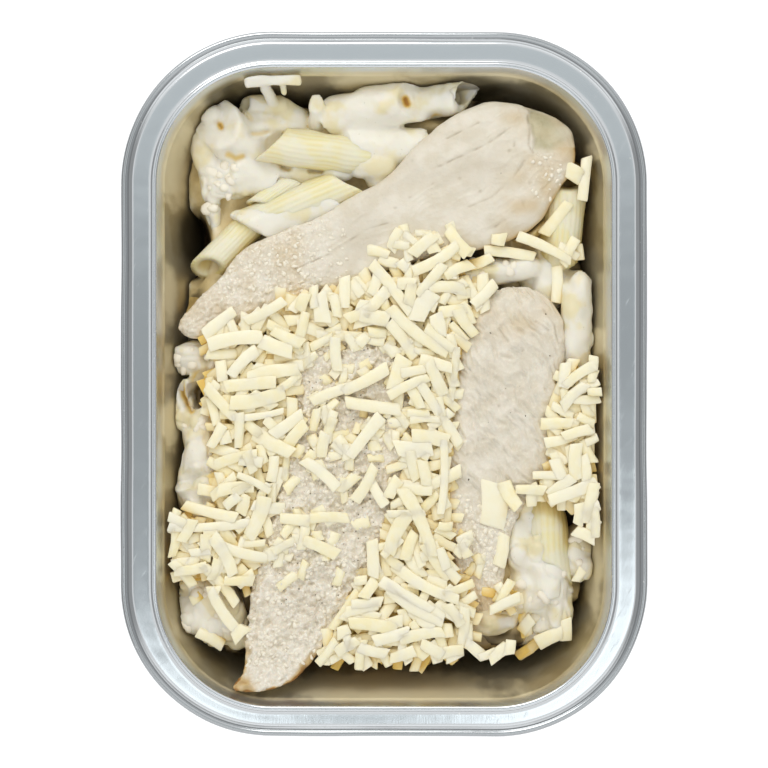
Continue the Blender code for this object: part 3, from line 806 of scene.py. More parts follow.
LONG_STATIONS = (
    ((30, 77), (51, 70), 29.0, 35.0),
    ((20, 73), (52, 62), 27.5, 36.3),
    ((10, 65.5), (47.5, 52), 27.0, 36.5),
    ((2, 57.5), (40.5, 42.5), 27.0, 36.5),
    ((-7, 51.5), (25, 36.5), 27.3, 36.2),
    ((-17, 46), (8, 33), 27.5, 36.0),
    ((-28, 41), (-7, 28), 27.8, 35.5),
    ((-38, 36.5), (-20, 24), 28.0, 35.0),
    ((-45, 28.5), (-33, 19), 28.2, 34.5),
    ((-51, 22), (-43, 15), 28.6, 34.0),
    ((-56, 16.5), (-51, 12), 29.5, 33.0),
)
LEFT_STATIONS = (
    ((-17, 16.5), (-6, 17), 29.0, 34.0),
    ((-23, 10), (3, 9.5), 28.3, 35.3),
    ((-24.5, 1), (6.5, -1), 28.2, 35.8),
    ((-24, -9), (8.3, -11), 28.2, 36.0),
    ((-26, -18), (6.5, -22), 28.2, 36.0),
    ((-29, -28), (3, -34), 28.2, 36.0),
    ((-32, -39), (-2.5, -46), 28.3, 36.0),
    ((-34.5, -51), (-9.5, -58), 28.8, 36.0),
    ((-36.5, -62), (-15, -68), 30.0, 36.3),
    ((-37, -71), (-21, -76), 32.0, 36.8),
    ((-38, -78), (-26, -80.5), 34.5, 38.0),
    ((-41, -81.5), (-33, -83), 36.8, 39.0),
)
RIGHT_STATIONS = (
    ((27, 24.5), (42, 25.5), 28.3, 33.5),
    ((22.5, 18), (48, 18), 27.8, 35.0),
    ((20.3, 8), (48.8, 8), 27.6, 35.5),
    ((19, -3), (47.3, -3), 27.6, 35.5),
    ((18, -14), (46, -14), 27.6, 35.2),
    ((17, -25), (44.5, -25), 27.6, 34.8),
    ((17.2, -35), (37, -34), 27.6, 34.2),
    ((18, -45), (33.5, -44), 27.6, 33.5),
    ((20, -54), (32.5, -53), 27.8, 32.6),
    ((23, -62), (31, -61.5), 28.2, 31.5),
)
SLICE_ROUNDING = 3.4
SLICE_STEP = 0.36 * MM
POINTS_ROUND_SLICE = 180
END_LENGTH = 1.2 * MM
END_ROUNDING = 4.0 * MM
# Cracks as lines and pinholes as points, in plan
LONG_CRACKS = (
    ((14.9, 58.7), (18.4, 60.4), (23.8, 62.7), (28.7, 65.3), (34, 69.1)),
    ((6.9, 50.4), (9.1, 51.8), (13.1, 54)), ((22.9, 47.8), (29.1, 50.4), (34.9, 55.8), (38, 60.2)),
    ((35.4, 66.7), (35.1, 64.2)), ((30, 42.4), (33.1, 44.6)), ((37.4, 49.5), (37.6, 48.2)),
    ((40.3, 50), (42.6, 52.2), (45.2, 54.9)), ((-12, 37), (-4, 42), (3, 44)), ((-24, 31), (-15, 35)),
    ((17, 66.3), (25.5, 70.5)), ((39.0, 73), (39.3, 68), (39.0, 64.5), (40.2, 62.5)),
)
LONG_PITS = (
    (32, 61.6), (39.3, 54.2), (16.2, 44.9), (36.5, 70), (7.7, 60.2), (42.5, 52.7), (26, 52),
    (33.8, 62.9), (46, 60), (44.9, 58.6), (-6, 41.6), (3, 47.5), (20.5, 55.5),
)
RIGHT_CRACKS = (
    ((43, 20), (46, 16), (47, 11)), ((31, 15), (33.5, 11.5)), ((41, 17), (44.5, 14.5)),
    ((34.5, -27.2), (44, -27.6)), ((35.5, -29.6), (43.5, -30)), ((20.5, -36), (28, -38.5)),
    ((19.5, -44), (24, -40.5), (26.5, -44.5)),
)
RIGHT_PITS = ((26.8, -15), (25, 4.6), (46.2, -8), (40, -24.5), (31, -6), (37.5, 9), (22.5, -19))
CRACK_HALF_WIDTH = 0.24 * MM
PIT_RADIUS = 0.36 * MM


def curve_through(places, values, at):
    # A smooth curve through the stations' values, read at other distances along the piece
    values = np.asarray(values, float)
    slopes = np.gradient(values, places, axis=0)
    index = np.clip(np.searchsorted(places, at) - 1, 0, len(places) - 2)
    width = places[index + 1] - places[index]
    share = (at - places[index]) / width
    if values.ndim == 2:
        width = width[:, None]
        share = share[:, None]
    square = share * share
    cube = square * share
    return (values[index] * (2 * cube - 3 * square + 1) + values[index + 1] * (3 * square - 2 * cube)
            + slopes[index] * width * (cube - 2 * square + share)
            + slopes[index + 1] * width * (cube - square))


def slice_section(count):
    # A flattened oval, with its points closer together along the top
    angle = np.linspace(0, 2 * math.pi, 4001)
    across = np.sign(np.cos(angle)) * np.abs(np.cos(angle)) ** (2 / SLICE_ROUNDING)
    rise = np.sign(np.sin(angle)) * np.abs(np.sin(angle)) ** (2 / SLICE_ROUNDING)
    run = np.hypot(np.diff(across) * 3, np.diff(rise)) * np.where(rise[:-1] < -0.8, 0.3, 1.0)
    travelled = np.concatenate(([0], np.cumsum(run)))
    wanted = np.linspace(0, travelled[-1], count, endpoint=False)
    return np.interp(wanted, travelled, across), np.interp(wanted, travelled, rise)


def chicken_points(stations, apart, count):
    # A slice's points and faces, and for each point how far it faces up and how near the
    # slice's edge it is
    left = np.array([station[0] for station in stations]) * MM
    right = np.array([station[1] for station in stations]) * MM
    middle = (left + right) / 2
    places = np.concatenate(([0], np.cumsum(np.linalg.norm(np.diff(middle, axis=0), axis=1))))
    total = places[-1]
    at = np.linspace(-END_LENGTH, total + END_LENGTH, int((total + 2 * END_LENGTH) / apart))
    left = curve_through(places, left, at)
    right = curve_through(places, right, at)
    base = curve_through(places, [station[2] * MM for station in stations], at)
    top = curve_through(places, [station[3] * MM for station in stations], at)
    from_end = np.minimum(at + END_LENGTH, total + END_LENGTH - at) / END_ROUNDING
    from_end = np.clip(from_end, 0.004, 1)
    narrowed = (1 - (1 - from_end) ** 2.6) ** (1 / 2.6)
    thinned = (1 - (1 - from_end) ** 2) ** 0.5 * 0.9 + 0.1
    across, rise = slice_section(count)
    centre = (left + right) / 2
    half = (right - left) / 2 * narrowed[:, None]
    plan = centre[:, None, :] + half[:, None, :] * across[None, :, None]
    tall = (top - base) / 2 * thinned
    height = ((top + base) / 2)[:, None] + tall[:, None] * rise[None, :]
    points = np.concatenate((plan, height[..., None]), axis=2).reshape(-1, 3)
    faces = ring_faces(len(at), count).tolist()
    close_ends(faces, len(points), count)
    upward = np.clip(np.tile(rise, len(at)) * 1.5, 0, 1)
    edge = np.tile(np.abs(across), len(at)) ** 2
    return points, faces, upward, edge


def face_outward(piece):
    shape = bmesh.new()
    shape.from_mesh(piece.data)
    if shape.calc_volume(signed=True) < 0:
        bmesh.ops.reverse_faces(shape, faces=shape.faces)
    shape.to_mesh(piece.data)
    shape.free()


def fibres(points, degrees, length, width, seed):
    # Broken wavy ridges of meat that run at an angle in plan, from 0 in the furrows to 1
    turn = math.radians(degrees)
    along = points[:, 0] * math.cos(turn) + points[:, 1] * math.sin(turn)
    across = points[:, 1] * math.cos(turn) - points[:, 0] * math.sin(turn)
    across = across + unevenness(points, 6, seed, 3.2) * MM
    across = across + unevenness(points, 2.2, seed + 1, 0.8) * MM
    stretched = np.column_stack((along / length, across / width, points[:, 2] / (4 * MM)))
    return 1 - np.abs(2 * noise(stretched, 1.0, seed + 2) - 1)


def crumbs_relief(points, seed):
    # Loose grains of two sizes, from about -1 to 1
    return unevenness(points, 1.5, seed, 1.3) + unevenness(points, 0.75, seed + 1, 1.1)


def build_chicken(name, stations, relief):
    points, faces, upward, edge = chicken_points(stations, SLICE_STEP, POINTS_ROUND_SLICE)
    raised, readings = relief(points, upward, edge)
    uneven = unevenness(points, 9, 41, 1.1) + unevenness(points, 3, 42, 0.4)
    piece = add_piece(name, points, faces, readings)
    face_outward(piece)
    shift = uneven + raised * upward
    move_points(piece, points + normals_of(piece) * (shift * MM)[:, None])
    return piece


def carve(points, lines, pits):
    # Fine cracks and pinholes, from 0 to 1 in the middle of one
    cut = np.zeros(len(points))
    for line in lines:
        cut = np.maximum(cut, np.exp(-(near_line(points, line) / CRACK_HALF_WIDTH) ** 2))
    for x, y in pits:
        away = np.hypot(points[:, 0] - x * MM, points[:, 1] - y * MM)
        cut = np.maximum(cut, np.exp(-(away / PIT_RADIUS) ** 2))
    return cut


def long_relief(points, upward, edge):
    x, y = points[:, 0] / MM, points[:, 1] / MM
    broken = np.clip(noise(points, 2.0 * MM, 52) * 2.2 - 0.5, 0.1, 1)
    cut = carve(points, LONG_CRACKS, LONG_PITS) * broken
    raised = (fibres(points, 33, 9 * MM, 1.6 * MM, 53) - 0.5) * 0.26 - 0.34 * cut
    grainy = np.clip((-10 - x) / 14, 0, 1)
    rough_patch = 0.8 * np.exp(-((x - 44.5) / 6) ** 2 - ((y - 56.5) / 7) ** 2)
    raised += (grainy * 0.55 + rough_patch * 0.3 + 0.08) * crumbs_relief(points, 55)
    uneven = unevenness(points, 3, 57, 2.4)
    olive = ease((x - 39.0 + uneven) / 1.6) * ease((y - 61.0 - (x - 39) * 0.25 + uneven) / 3.0)
    raised -= olive * (0.9 - 0.5 * edge)
    # Painted shade on the slice's sloping edges towards the lower right, carried in the browning reading
    # with real stains
    lower_right = np.clip((x - 5) / 20, 0, 1) * edge * (1.2 - upward) * (y < 64)
    stained = 0.38 * noise(points, 4 * MM, 58) * np.maximum(ease((x - 24) / 12), ease((-14 - x) / 10))
    strip = np.exp(-(near_line(points, ((3, 57), (-6, 53), (-15, 47))) / (1.1 * MM)) ** 2)
    browning_and_shade = np.clip(0.8 * lower_right + stained + 0.3 * strip * (1 - upward * 0.5), 0, 1)
    return raised, {"browning_and_shade": browning_and_shade, "grainy": np.maximum(grainy, rough_patch), "cut": cut,
                    "olive": olive * np.clip(1.25 - edge, 0, 1)}


def left_relief(points, upward, edge):
    tip = np.clip((-66 * MM - points[:, 1]) / (12 * MM), 0, 1)
    clumps = unevenness(points, 2.8, 64, 2.0)
    raised = (1.35 * crumbs_relief(points, 61) + clumps) * (1 - 0.5 * tip)
    browning_and_shade = tip * np.clip(edge * 2.4 - 1.5 + unevenness(points, 2, 63, 1.6), 0, 1)
    end = np.hypot(points[:, 0] + 38.5 * MM, points[:, 1] + 83.2 * MM) / (4.2 * MM)
    browning_and_shade = np.maximum(browning_and_shade, 1.1 * np.exp(-end ** 2) * (0.5 + noise(points, 1.6 * MM, 65)))
    still = np.zeros(len(points))
    return raised, {"browning_and_shade": browning_and_shade, "grainy": still + 1, "cut": still, "olive": still}


def right_relief(points, upward, edge):
    low_end = np.clip((-28 * MM - points[:, 1]) / (8 * MM), 0, 1)
    cut = carve(points, RIGHT_CRACKS, RIGHT_PITS) * (0.4 + 0.6 * noise(points, 2.5 * MM, 72))
    waves = fibres(points, -54, 3.4 * MM, 0.85 * MM, 71)
    raised = (waves - 0.6) * 1.1 * (1 - 0.6 * low_end) - 0.5 * cut
    raised += 0.5 * crumbs_relief(points, 75) * (0.25 + 0.75 * low_end)
    furrows = np.clip(0.45 - waves, 0, 1) * (1 - low_end)
    stained = 0.38 * noise(points, 4 * MM, 78) * ease((points[:, 1] - 6 * MM) / (9 * MM))
    # Painted shade on the sloping edges and in the furrows, carried in the browning reading with real
    # stains
    browning_and_shade = 0.2 * edge * (1 - upward) + 0.22 * furrows + stained
    return raised, {"browning_and_shade": browning_and_shade, "grainy": 0.25 + 0.75 * low_end,
                    "cut": cut, "olive": np.zeros(len(points))}


def chicken_finish():
    finish = Finish(bpy.data.materials.new("cooked_chicken"))
    browning_and_shade = finish.reading("browning_and_shade")
    grainy = finish.reading("grainy")
    mottle = finish.spots(5 * MM, 4, 0.35, 0.68)
    spots = finish.spots(1.0 * MM, 2, 0.5, 0.68)
    meat = finish.mix(mottle, rgb(231, 224, 208), rgb(221, 212, 192))
    dull = finish.spots(13 * MM, 2, 0.45, 0.62)
    meat = finish.mix(dull * 0.4, meat, rgb(212, 202, 182))
    pale_grains = finish.spots(0.8 * MM, 3, 0.52, 0.64) * grainy
    meat = finish.mix(grainy * 0.35, meat, rgb(240, 233, 218))
    meat = finish.mix(pale_grains * 0.85, meat, rgb(251, 246, 232))
    # Painted shade: small darker spots standing in for shaded dents in the crumbly meat
    dent_shade = finish.spots(1.5 * MM, 3, 0.56, 0.68) * grainy
    meat = finish.mix(dent_shade * 0.45, meat, rgb(204, 188, 156))
    pinkish = finish.mix(spots * grainy * 0.45, meat, rgb(220, 207, 189))
    damp = finish.mix(mottle, rgb(202, 194, 163), rgb(184, 176, 142))
    patch = finish.mix(finish.reading("olive"), pinkish, damp)
    # Painted shade in the cracks and pinholes
    crack_shaded = finish.mix(finish.reading("cut") * 0.5, patch, rgb(160, 140, 108))
    # Golden to brown where the meat is browned, and painted shade on its edges and in its furrows
    golden = finish.mix(finish.between(browning_and_shade, 0.05, 0.75), crack_shaded, rgb(205, 177, 124))
    colour = finish.mix(finish.between(browning_and_shade, 0.7, 1.0), golden, rgb(156, 108, 46))
    finish.shader({
        # Painted shade: golden, then brown, down the gaps
        "Base Color": painted_gap_shade(finish, colour, rgb(224, 208, 176), rgb(182, 158, 120), 3.8),
        "Roughness": 0.5 + 0.12 * mottle,
        "Subsurface Weight": 0.15, "Subsurface Radius": (1.6, 1.1, 0.8), "Subsurface Scale": MM,
        "Normal": finish.relief(finish.grain(0.8 * MM, 3), 0.26 * MM, 0.7)})
    return finish.owner


meat = chicken_finish()
chickens = []
for name, stations, relief in (("chicken_long", LONG_STATIONS, long_relief),
                               ("chicken_left", LEFT_STATIONS, left_relief),
                               ("chicken_right", RIGHT_STATIONS, right_relief)):
    chicken = build_chicken(name + "_slice", stations, relief)
    chicken.data.materials.append(meat)
    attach(chicken, "root")
    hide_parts(name)
    chickens.append(chicken)


# Grated cheese covers the pasta between the chicken pieces and spills onto them: strips
# cut by a coarse grater, three millimetres wide, that lie across one another.

# The map of heights in plan that strands are laid on
CELL = 0.5 * MM
AREA_LOW = (-62 * MM, -87 * MM)
AREA_STEPS = (248, 348)
ABOVE_ALL = 60 * MM
# The upper end of the cheese, as a line in plan, and how far below it strands start
BED_EDGE = ((-50, 17), (30, 37))
BED_MARGIN = 1.0
BED_WALL_HEIGHT = 23 * MM
BED_CLEAR = 1.2 * MM
# Sauced penne that stay free of cheese: centre, half width and half length
NO_CHEESE = (
    (45, -49, 13, 19), (30, -64, 9, 5), (-52, -19, 9, 13), (-53, 5, 9, 10), (-55, -64, 6, 12),
    (-50, -33.5, 7, 4.5), (52, 19, 7, 17), (33, 31, 15, 6.5), (45, 31, 6, 9), (38, -71, 20, 5),
    (-46, -63, 13, 13), (-40, -73, 9, 8), (-54, -6, 7, 6),
)


def tree_of(pieces):
    vertices, faces, _ = gather([
        (points_of(piece), [polygon.vertices for polygon in piece.data.polygons], ())
        for piece in pieces])
    return BVHTree.FromPolygons(vertices.tolist(), faces)


def height_map(pieces):
    # The height of whatever is uppermost over each cell of a fine grid in plan
    tree = tree_of(pieces)
    heights = np.zeros(AREA_STEPS)
    for column, row in np.ndindex(AREA_STEPS):
        x = AREA_LOW[0] + (column + 0.5) * CELL
        y = AREA_LOW[1] + (row + 0.5) * CELL
        hit = tree.ray_cast((x, y, ABOVE_ALL), (0, 0, -1))[0]
        if hit is not None:
            heights[column, row] = hit.z
    return heights


def cells_at(x, y):
    column = np.clip(((x - AREA_LOW[0]) / CELL).astype(int), 0, AREA_STEPS[0] - 1)
    row = np.clip(((y - AREA_LOW[1]) / CELL).astype(int), 0, AREA_STEPS[1] - 1)
    return column, row


heights = height_map([pasta_bulk, penne, sauced] + chickens)
chicken_only = height_map(chickens) > 0


def clear_of_cheese(x, y):
    # Under 1 inside the patches of sauce that no cheese has fallen on
    return np.min([away_from(patch, x, y) for patch in NO_CHEESE], axis=0)


def bed_surface(x, y, room):
    flat = np.column_stack((x, y, np.zeros(len(x))))
    bumps = unevenness(flat, 6, 81, 2.4) + unevenness(flat, 2.4, 82, 1.6)
    start = np.array(BED_EDGE[0]) * MM
    run = np.array(BED_EDGE[1]) * MM - start
    beyond = ((y - start[1]) * run[0] - (x - start[0]) * run[1]) / np.hypot(*run)
    level = (26.5 + 6 * ease(room / (7 * MM)) + bumps) * MM
    level = level - 14 * MM * ease(3.2 - 2.4 * clear_of_cheese(x, y))
    level = np.where(chicken_only[cells_at(x, y)], level - 6 * MM, level)
    level = level - 7 * MM * ease((-62 * MM - y) / (13 * MM))
    return level - hollowed(x, y) - np.clip(beyond * 0.8, 0, 9 * MM)


# The matted lower layer, up to the long piece, only shows in the gaps
points, faces = heap_inside_wall(bed_surface, BED_WALL_HEIGHT, BED_CLEAR)
bed = add_piece("cheese_bed", points, faces)
heights = np.maximum(heights, height_map([bed]))

# x, y, heading in degrees, length and, where it isn't the usual, width, in millimetres
TOP_STRANDS = (
    (51.5, 57, -30, 5, 4.5), (46.7, 44.8, 52, 11), (43.5, 37, -25, 16),
    (34, 35.5, -8, 14), (47, 27, 88, 10), (19.8, 38.3, -52, 9, 3.5), (12.5, 38, -65, 6),
    (14, 33.5, 30, 14), (26, 33, 20, 7), (31, 39, 0, 4), (20, 31, 25, 8), (12.5, 28, 50, 11),
    (2, 26, -52, 17), (6, 27, 0, 5), (17, 26, -3, 10), (7, 24, 80, 6), (10.5, 21, 60, 9, 5),
    (9, 14, -38, 20), (5, 12, -55, 12), (14.5, 16, -80, 6, 4), (15, 12, -40, 10), (4, 3, 70, 9, 4.5),
    (14, 5.5, -15, 9), (8, 3.5, 10, 7), (6.5, -0.5, 25, 12), (14, 1.5, -65, 10), (15, -8, -57, 20),
    (18.8, 2, 84, 16, 2), (11, -9.5, 0, 8, 2), (12.5, -14.5, -10, 10, 4), (8, -17.5, 0, 10, 4.5),
    (16, -25, 88, 20, 2.2), (7.8, -22, -75, 8), (11, -24, -80, 7), (7, -28, -10, 12),
    (2.5, -28, 60, 6), (-2, -29, -60, 9), (9.5, -37, -65, 20, 3.5), (6, -34.8, 2, 10, 2),
    (3.5, -40, 65, 12, 4), (-3, -47, 92, 10), (14, -48, -55, 12), (16, -47, -70, 6),
    (11, -54, -28, 20), (6, -57, -30, 16), (8, -60, -33, 18), (-3, -65, -8, 13), (-6, -60.5, 12, 9),
    (19, -62, -55, 7), (21.5, -65.5, 86, 11), (2, -68, 15, 10), (10, -67.5, 10, 12),
    (-44.5, 16.5, 40, 10.5, 3.4), (-32, 19.5, 28, 12), (-17, 20.5, -80, 8, 4.5), (-22, 22, 70, 5),
    (-13, 21, -80, 6), (-22, 15.5, 75, 8), (-26, 12.5, -25, 9), (-40, 12, 8, 15, 4),
    (-29, 10, -20, 9, 4), (-6.5, 19, 25, 8), (-2.5, 18, -10, 8, 4), (-2, 22, 50, 10), (-38, 6, 45, 10),
    (-30, 3, 12, 14, 4), (-36, 0, 5, 14, 3.5), (-44, -5, -48, 12), (-34, -4, 12, 15, 4),
    (-34, -8.5, 8, 14, 2), (-39, -12.5, 88, 9.5, 2.6), (-26, -11, 35, 10), (-24, -14, 50, 9),
    (-30, -16, -28, 12, 4), (-45, -14, 60, 7), (-40, -20, 15, 12), (-36, -21, -70, 6),
    (-35, -26.5, -28, 10, 2), (-40, -28, 5, 10), (-47, -34.5, -13, 15), (-47, -38.3, 3, 22, 2.6),
    (-34, -36, 68, 12, 4), (-41, -31.5, 40, 5), (-48, -44, 88, 7, 3.3), (-43, -46, -62, 12, 3.5),
    (-38, -45.5, -15, 14), (-35, -43, 5, 6, 2), (-44, -54, -50, 14), (-46, -56, 0, 3.3),
    (-39, -53, 0, 8), (-43.5, -61, -58, 13), (-55, -57, 0, 4), (-39, -67, 45, 5), (-47, -69, -28, 8),
    (-52, -50, 10, 9), (-51, -58, 40, 3.5), (-45.5, -50, 70, 6),
    (52.5, 2.5, 35, 10), (51, -3, 45, 9), (56, -8, 65, 9), (52, -13, 15, 8), (51.5, -21, 90, 10, 3.4),
    (47, -23, -65, 6), (47.5, -27.5, 35, 8), (51, -29, 20, 14, 3.5), (55.5, -32, 78, 11, 3.4),
    (52.5, -35, 85, 6), (54, -40.5, -25, 6), (29.8, -32.6, 87, 12, 7.4), (39.5, -28.5, -3, 8),
    (24.5, -71.5, -40, 6), (28, -73, 20, 5, 2.4), (31, -72.5, 38, 6.5), (34, -71, 80, 4),
    (39.9, -72.3, 38, 8.5, 3), (45, -69, 25, 7.5, 4), (18.5, -72, 10, 6), (13, -71.5, -30, 7),
    (5, -73, 20, 7), (-3, -72, -15, 8), (-10, -70.5, 30, 7), (53, -52, 60, 4, 2.4),
    (34, -30, -60, 8, 4), (32, -45, 80, 9, 3.5),
    (-13, 8, 95, 9), (-14, -2.5, 20, 12), (-5, 1, 28, 14), (-3, -6, -8, 15), (-5, -14, 52, 14),
    (-17, -24, -40, 12), (-5, -27, 60, 11), (-15, -36, 0, 11), (-24, -36.5, -5, 8), (-17, -44, -25, 10),
    (10.5, 37.5, 40, 8),
)
TOP_WIDTHS = (2.7, 3.4)
# How steeply strands may lie, how deep they sink into what is under them, and how high
# they may reach
STEEPEST = math.tan(math.radians(10))
SUNK = 1.5 * MM
HIGHEST = 39.0 * MM
# How many lower strands fall, the places that each chooses from, and shortest and longest
FALLS = ((400, 8, 5.5, 13), (470, 30, 3.4, 9.0), (130, 90, 4.5, 9.0))
FALL_ACROSS = (-57, 57)
FALL_ALONG = (-74, 36)
FALL_WIDTHS = (2.3, 3.3)
FALL_THICKNESSES = (1.7, 2.3)
# The cheese's lower end, and the lowest ground that it stays on
CHEESE_END = -73 * MM
LOWEST_GROUND = 20 * MM
# Shreds caught in the crumbs on the chicken: x and y ranges and their count. They are
# pressed in deep.
CAUGHT = ((-32, 7, -24, 15, 76), (-32, 0, -58, -24, 24), (-2, 24, 32, 41, 22), (18, 33, -58, -40, 8))
CAUGHT_LENGTHS = (2.6, 7)
CAUGHT_WIDTHS = (2.2, 3.4)
CAUGHT_THICKNESS = 2.6 * MM
CAUGHT_SUNK = 2.4 * MM
# One strand in the upper right corner leans on the wall: x, y, heading, length, width,
# thickness and height
LEANING = (54.3, 55.6, 84, 12, 3, 2.2, 32)
STRAND_CLEAR = 0.6 * MM
SHRED_CLEAR = 0.4 * MM
# Slabs as wide as this show their pale cut face
PALE_FROM = 5 * MM


def places_on(x, y, turn, along, across):
    # Places in plan, given along and across a strand that lies at that angle
    cos, sin = math.cos(turn), math.sin(turn)
    return x + along * cos - across * sin, y + along * sin + across * cos


def rest_strand(strand, sunk):
    # Lays a straight strand on what is there, on two points that its middle lies between
    x, y, turn, length, width, thick = strand
    along = np.arange(-length / 2, length / 2 + CELL / 2, CELL)
    across = np.array((-0.35, 0.0, 0.35)) * width
    ground = heights[cells_at(*places_on(x, y, turn, along[:, None], across))].max(axis=1)
    before = along <= 0
    after = along >= 0
    near, far = along[before][:, None], along[after][None, :]
    near_z, far_z = ground[before][:, None], ground[after][None, :]
    gap = np.maximum(far - near, CELL)
    middle = (near_z * far - far_z * near) / gap
    best = np.unravel_index(np.argmax(middle), middle.shape)
    slope = ((far_z - near_z) / gap)[best]
    slope = float(np.clip(slope, -STEEPEST, STEEPEST))
    level = float(np.percentile(ground - slope * along, 86)) - sunk
    return slope, min(level, HIGHEST - thick - abs(slope) * length / 2)


def leave_mark(strand, slope, level):
    # Raises the map by the strand, so that the next one lies on it
    x, y, turn, length, width, thick = strand
    along = np.arange(-length / 2, length / 2, CELL / 2)[:, None]
    across = np.arange(-width / 2, width / 2, CELL / 2)
    top = level + thick + slope * along + 0 * across
    np.maximum.at(heights, cells_at(*places_on(x, y, turn, along, across)), top)


def strand_mesh(strand, slope, level, dice):
    # A bar with its four long edges broken, cut off square or on the slant
    x, y, turn, length, width, thick = strand
    half = 0.5
    bevel = dice.uniform(0.14, 0.24)
    outline = np.array(((half, bevel - half), (half, half - bevel), (half - bevel, half),
                        (bevel - half, half), (-half, half - bevel), (-half, bevel - half),
                        (bevel - half, -half), (half - bevel, -half)))
    bend = dice.uniform(-0.06, 0.06) * length
    lift = dice.uniform(-0.02, 0.03) * length
    twist = dice.uniform(-0.3, 0.3)
    slant = dice.uniform(-0.45, 0.45, 2)
    wedge = dice.uniform(-0.12, 0.12)
    rings = []
    count = max(3, int(length / (2.4 * MM)))
    shares = np.concatenate(([-0.5], np.linspace(-0.46, 0.46, count), [0.5]))
    for share in shares:
        end = 1 - 0.1 * (abs(share) == 0.5)
        roll = twist * share
        wide = outline[:, 0] * width * end * (1 + wedge * share * 2 - 0.08 * dice.random())
        tall = outline[:, 1] * thick * end
        side = wide * math.cos(roll) - tall * math.sin(roll)
        rise = wide * math.sin(roll) + tall * math.cos(roll)
        cut = slant[0] if share < 0 else slant[1]
        run = share * length + cut * wide * (2 * abs(share)) ** 6
        side = side + bend * (0.25 - share * share) * 4 - bend * 0.6
        up = level + thick / 2 + slope * share * length + rise + lift * (1 - 4 * share * share)
        rings.append(np.column_stack((*places_on(x, y, turn, run, side), up)))
    points = np.concatenate(rings)
    faces = ring_faces(len(rings), len(outline)).tolist()
    close_ends(faces, len(points), len(outline))
    return points, faces, np.full(len(points), dice.random() * (width < PALE_FROM))


def strand_fits(strand, level):
    x, y, turn, length, width, _ = strand
    along = np.array((-0.5, -0.5, 0.5, 0.5)) * length
    across = np.array((-0.5, 0.5, -0.5, 0.5)) * width
    ends = places_on(x, y, turn, along, across)
    return bool((from_wall(*ends, level) > STRAND_CLEAR).all())


def cheese_falls_at(x, y):
    # The cheese lies below the long piece's lower edge, and thins out towards the walls
    start, end = BED_EDGE
    edge = start[1] + (end[1] - start[1]) * (x / MM - start[0]) / (end[0] - start[0])
    if y > (edge - BED_MARGIN) * MM or y < CHEESE_END or clear_of_cheese(x, y) < 1:
        return False
    column, row = cells_at(np.array([x]), np.array([y]))
    return not chicken_only[column, row][0] and heights[column, row][0] > LOWEST_GROUND


def drop_strand(strand, dice, strands, sunk=SUNK):
    # A strand is its place in plan, heading, length, width and thickness
    slope, level = rest_strand(strand, sunk)
    if not strand_fits(strand, level):
        return False
    leave_mark(strand, slope, level)
    strands.append(strand_mesh(strand, slope, level, dice))
    return True


def ground_under(x, y, turn, length):
    along = np.linspace(-0.4, 0.4, 7) * length
    return float(heights[cells_at(*places_on(x, y, turn, along, 0))].mean())


def grate_cheese():
    # The lower strands each take the lowest of a few places, so that they cover evenly
    dice = np.random.default_rng(17)
    strands = []
    for count, places, shortest, longest in FALLS:
        for _ in range(count):
            choices = []
            while len(choices) < places:
                x = dice.uniform(*FALL_ACROSS) * MM
                y = dice.uniform(*FALL_ALONG) * MM
                if not cheese_falls_at(x, y):
                    continue
                turn = dice.uniform(0, math.pi)
                length = dice.uniform(shortest, longest) * MM
                choices.append((ground_under(x, y, turn, length), x, y, turn, length))
            _, x, y, turn, length = min(choices)
            width = dice.uniform(*FALL_WIDTHS) * MM
            thick = dice.uniform(*FALL_THICKNESSES) * MM
            drop_strand((x, y, turn, length, width, thick), dice, strands)
    for low_x, high_x, low_y, high_y, count in CAUGHT:
        caught = 0
        while caught < count:
            x = dice.uniform(low_x, high_x) * MM
            y = dice.uniform(low_y, high_y) * MM
            column, row = cells_at(np.array([x]), np.array([y]))
            if chicken_only[column, row][0]:
                turn = dice.uniform(0, math.pi)
                length = dice.uniform(*CAUGHT_LENGTHS) * MM
                width = dice.uniform(*CAUGHT_WIDTHS) * MM
                strand = (x, y, turn, length, width, CAUGHT_THICKNESS)
                caught += drop_strand(strand, dice, strands, CAUGHT_SUNK)
    for x, y, degrees, length, *given in TOP_STRANDS:
        width = given[0] if given else dice.uniform(*TOP_WIDTHS)
        thick = min(width, 2.5) * dice.uniform(0.75, 0.9) * MM
        drop_strand((x * MM, y * MM, math.radians(degrees), length * MM, width * MM, thick),
                    dice, strands)
    x, y, degrees, length, width, thick, level = LEANING
    strand = (x * MM, y * MM, math.radians(degrees), length * MM, width * MM, thick * MM)
    strands.append(strand_mesh(strand, 0.0, level * MM, dice))
    return gather(strands)


points, faces, tones = grate_cheese()
points += unevenness(points, 1.6, 91, 0.22 * MM)[:, None]
cheese = add_piece("cheese_strands", hold_inside(points, SHRED_CLEAR), faces, {"tone": tones})
cheese.data.set_sharp_from_angle(angle=math.radians(48))


def widest(values, reach):
    # The highest value within a few cells of each cell
    best = values.copy()
    for _ in range(reach):
        for axis in (0, 1):
            best = np.maximum(best, np.maximum(np.roll(best, 1, axis), np.roll(best, -1, axis)))
    return best


def softened(values, times):
    for _ in range(times):
        for axis in (0, 1):
            values = (values * 2 + np.roll(values, 1, axis) + np.roll(values, -1, axis)) / 4
    return values


upper_level = softened(widest(heights, 4), 5)


def read_depth(piece):
    # How far each point lies below what is uppermost around it
    points = points_of(piece)
    depth = upper_level[cells_at(points[:, 0], points[:, 1])] - points[:, 2]
    write_reading(piece.data, "depth", np.maximum(depth, 0))


for piece in [pasta_bulk, penne, sauced, bed, cheese] + chickens:
    read_depth(piece)


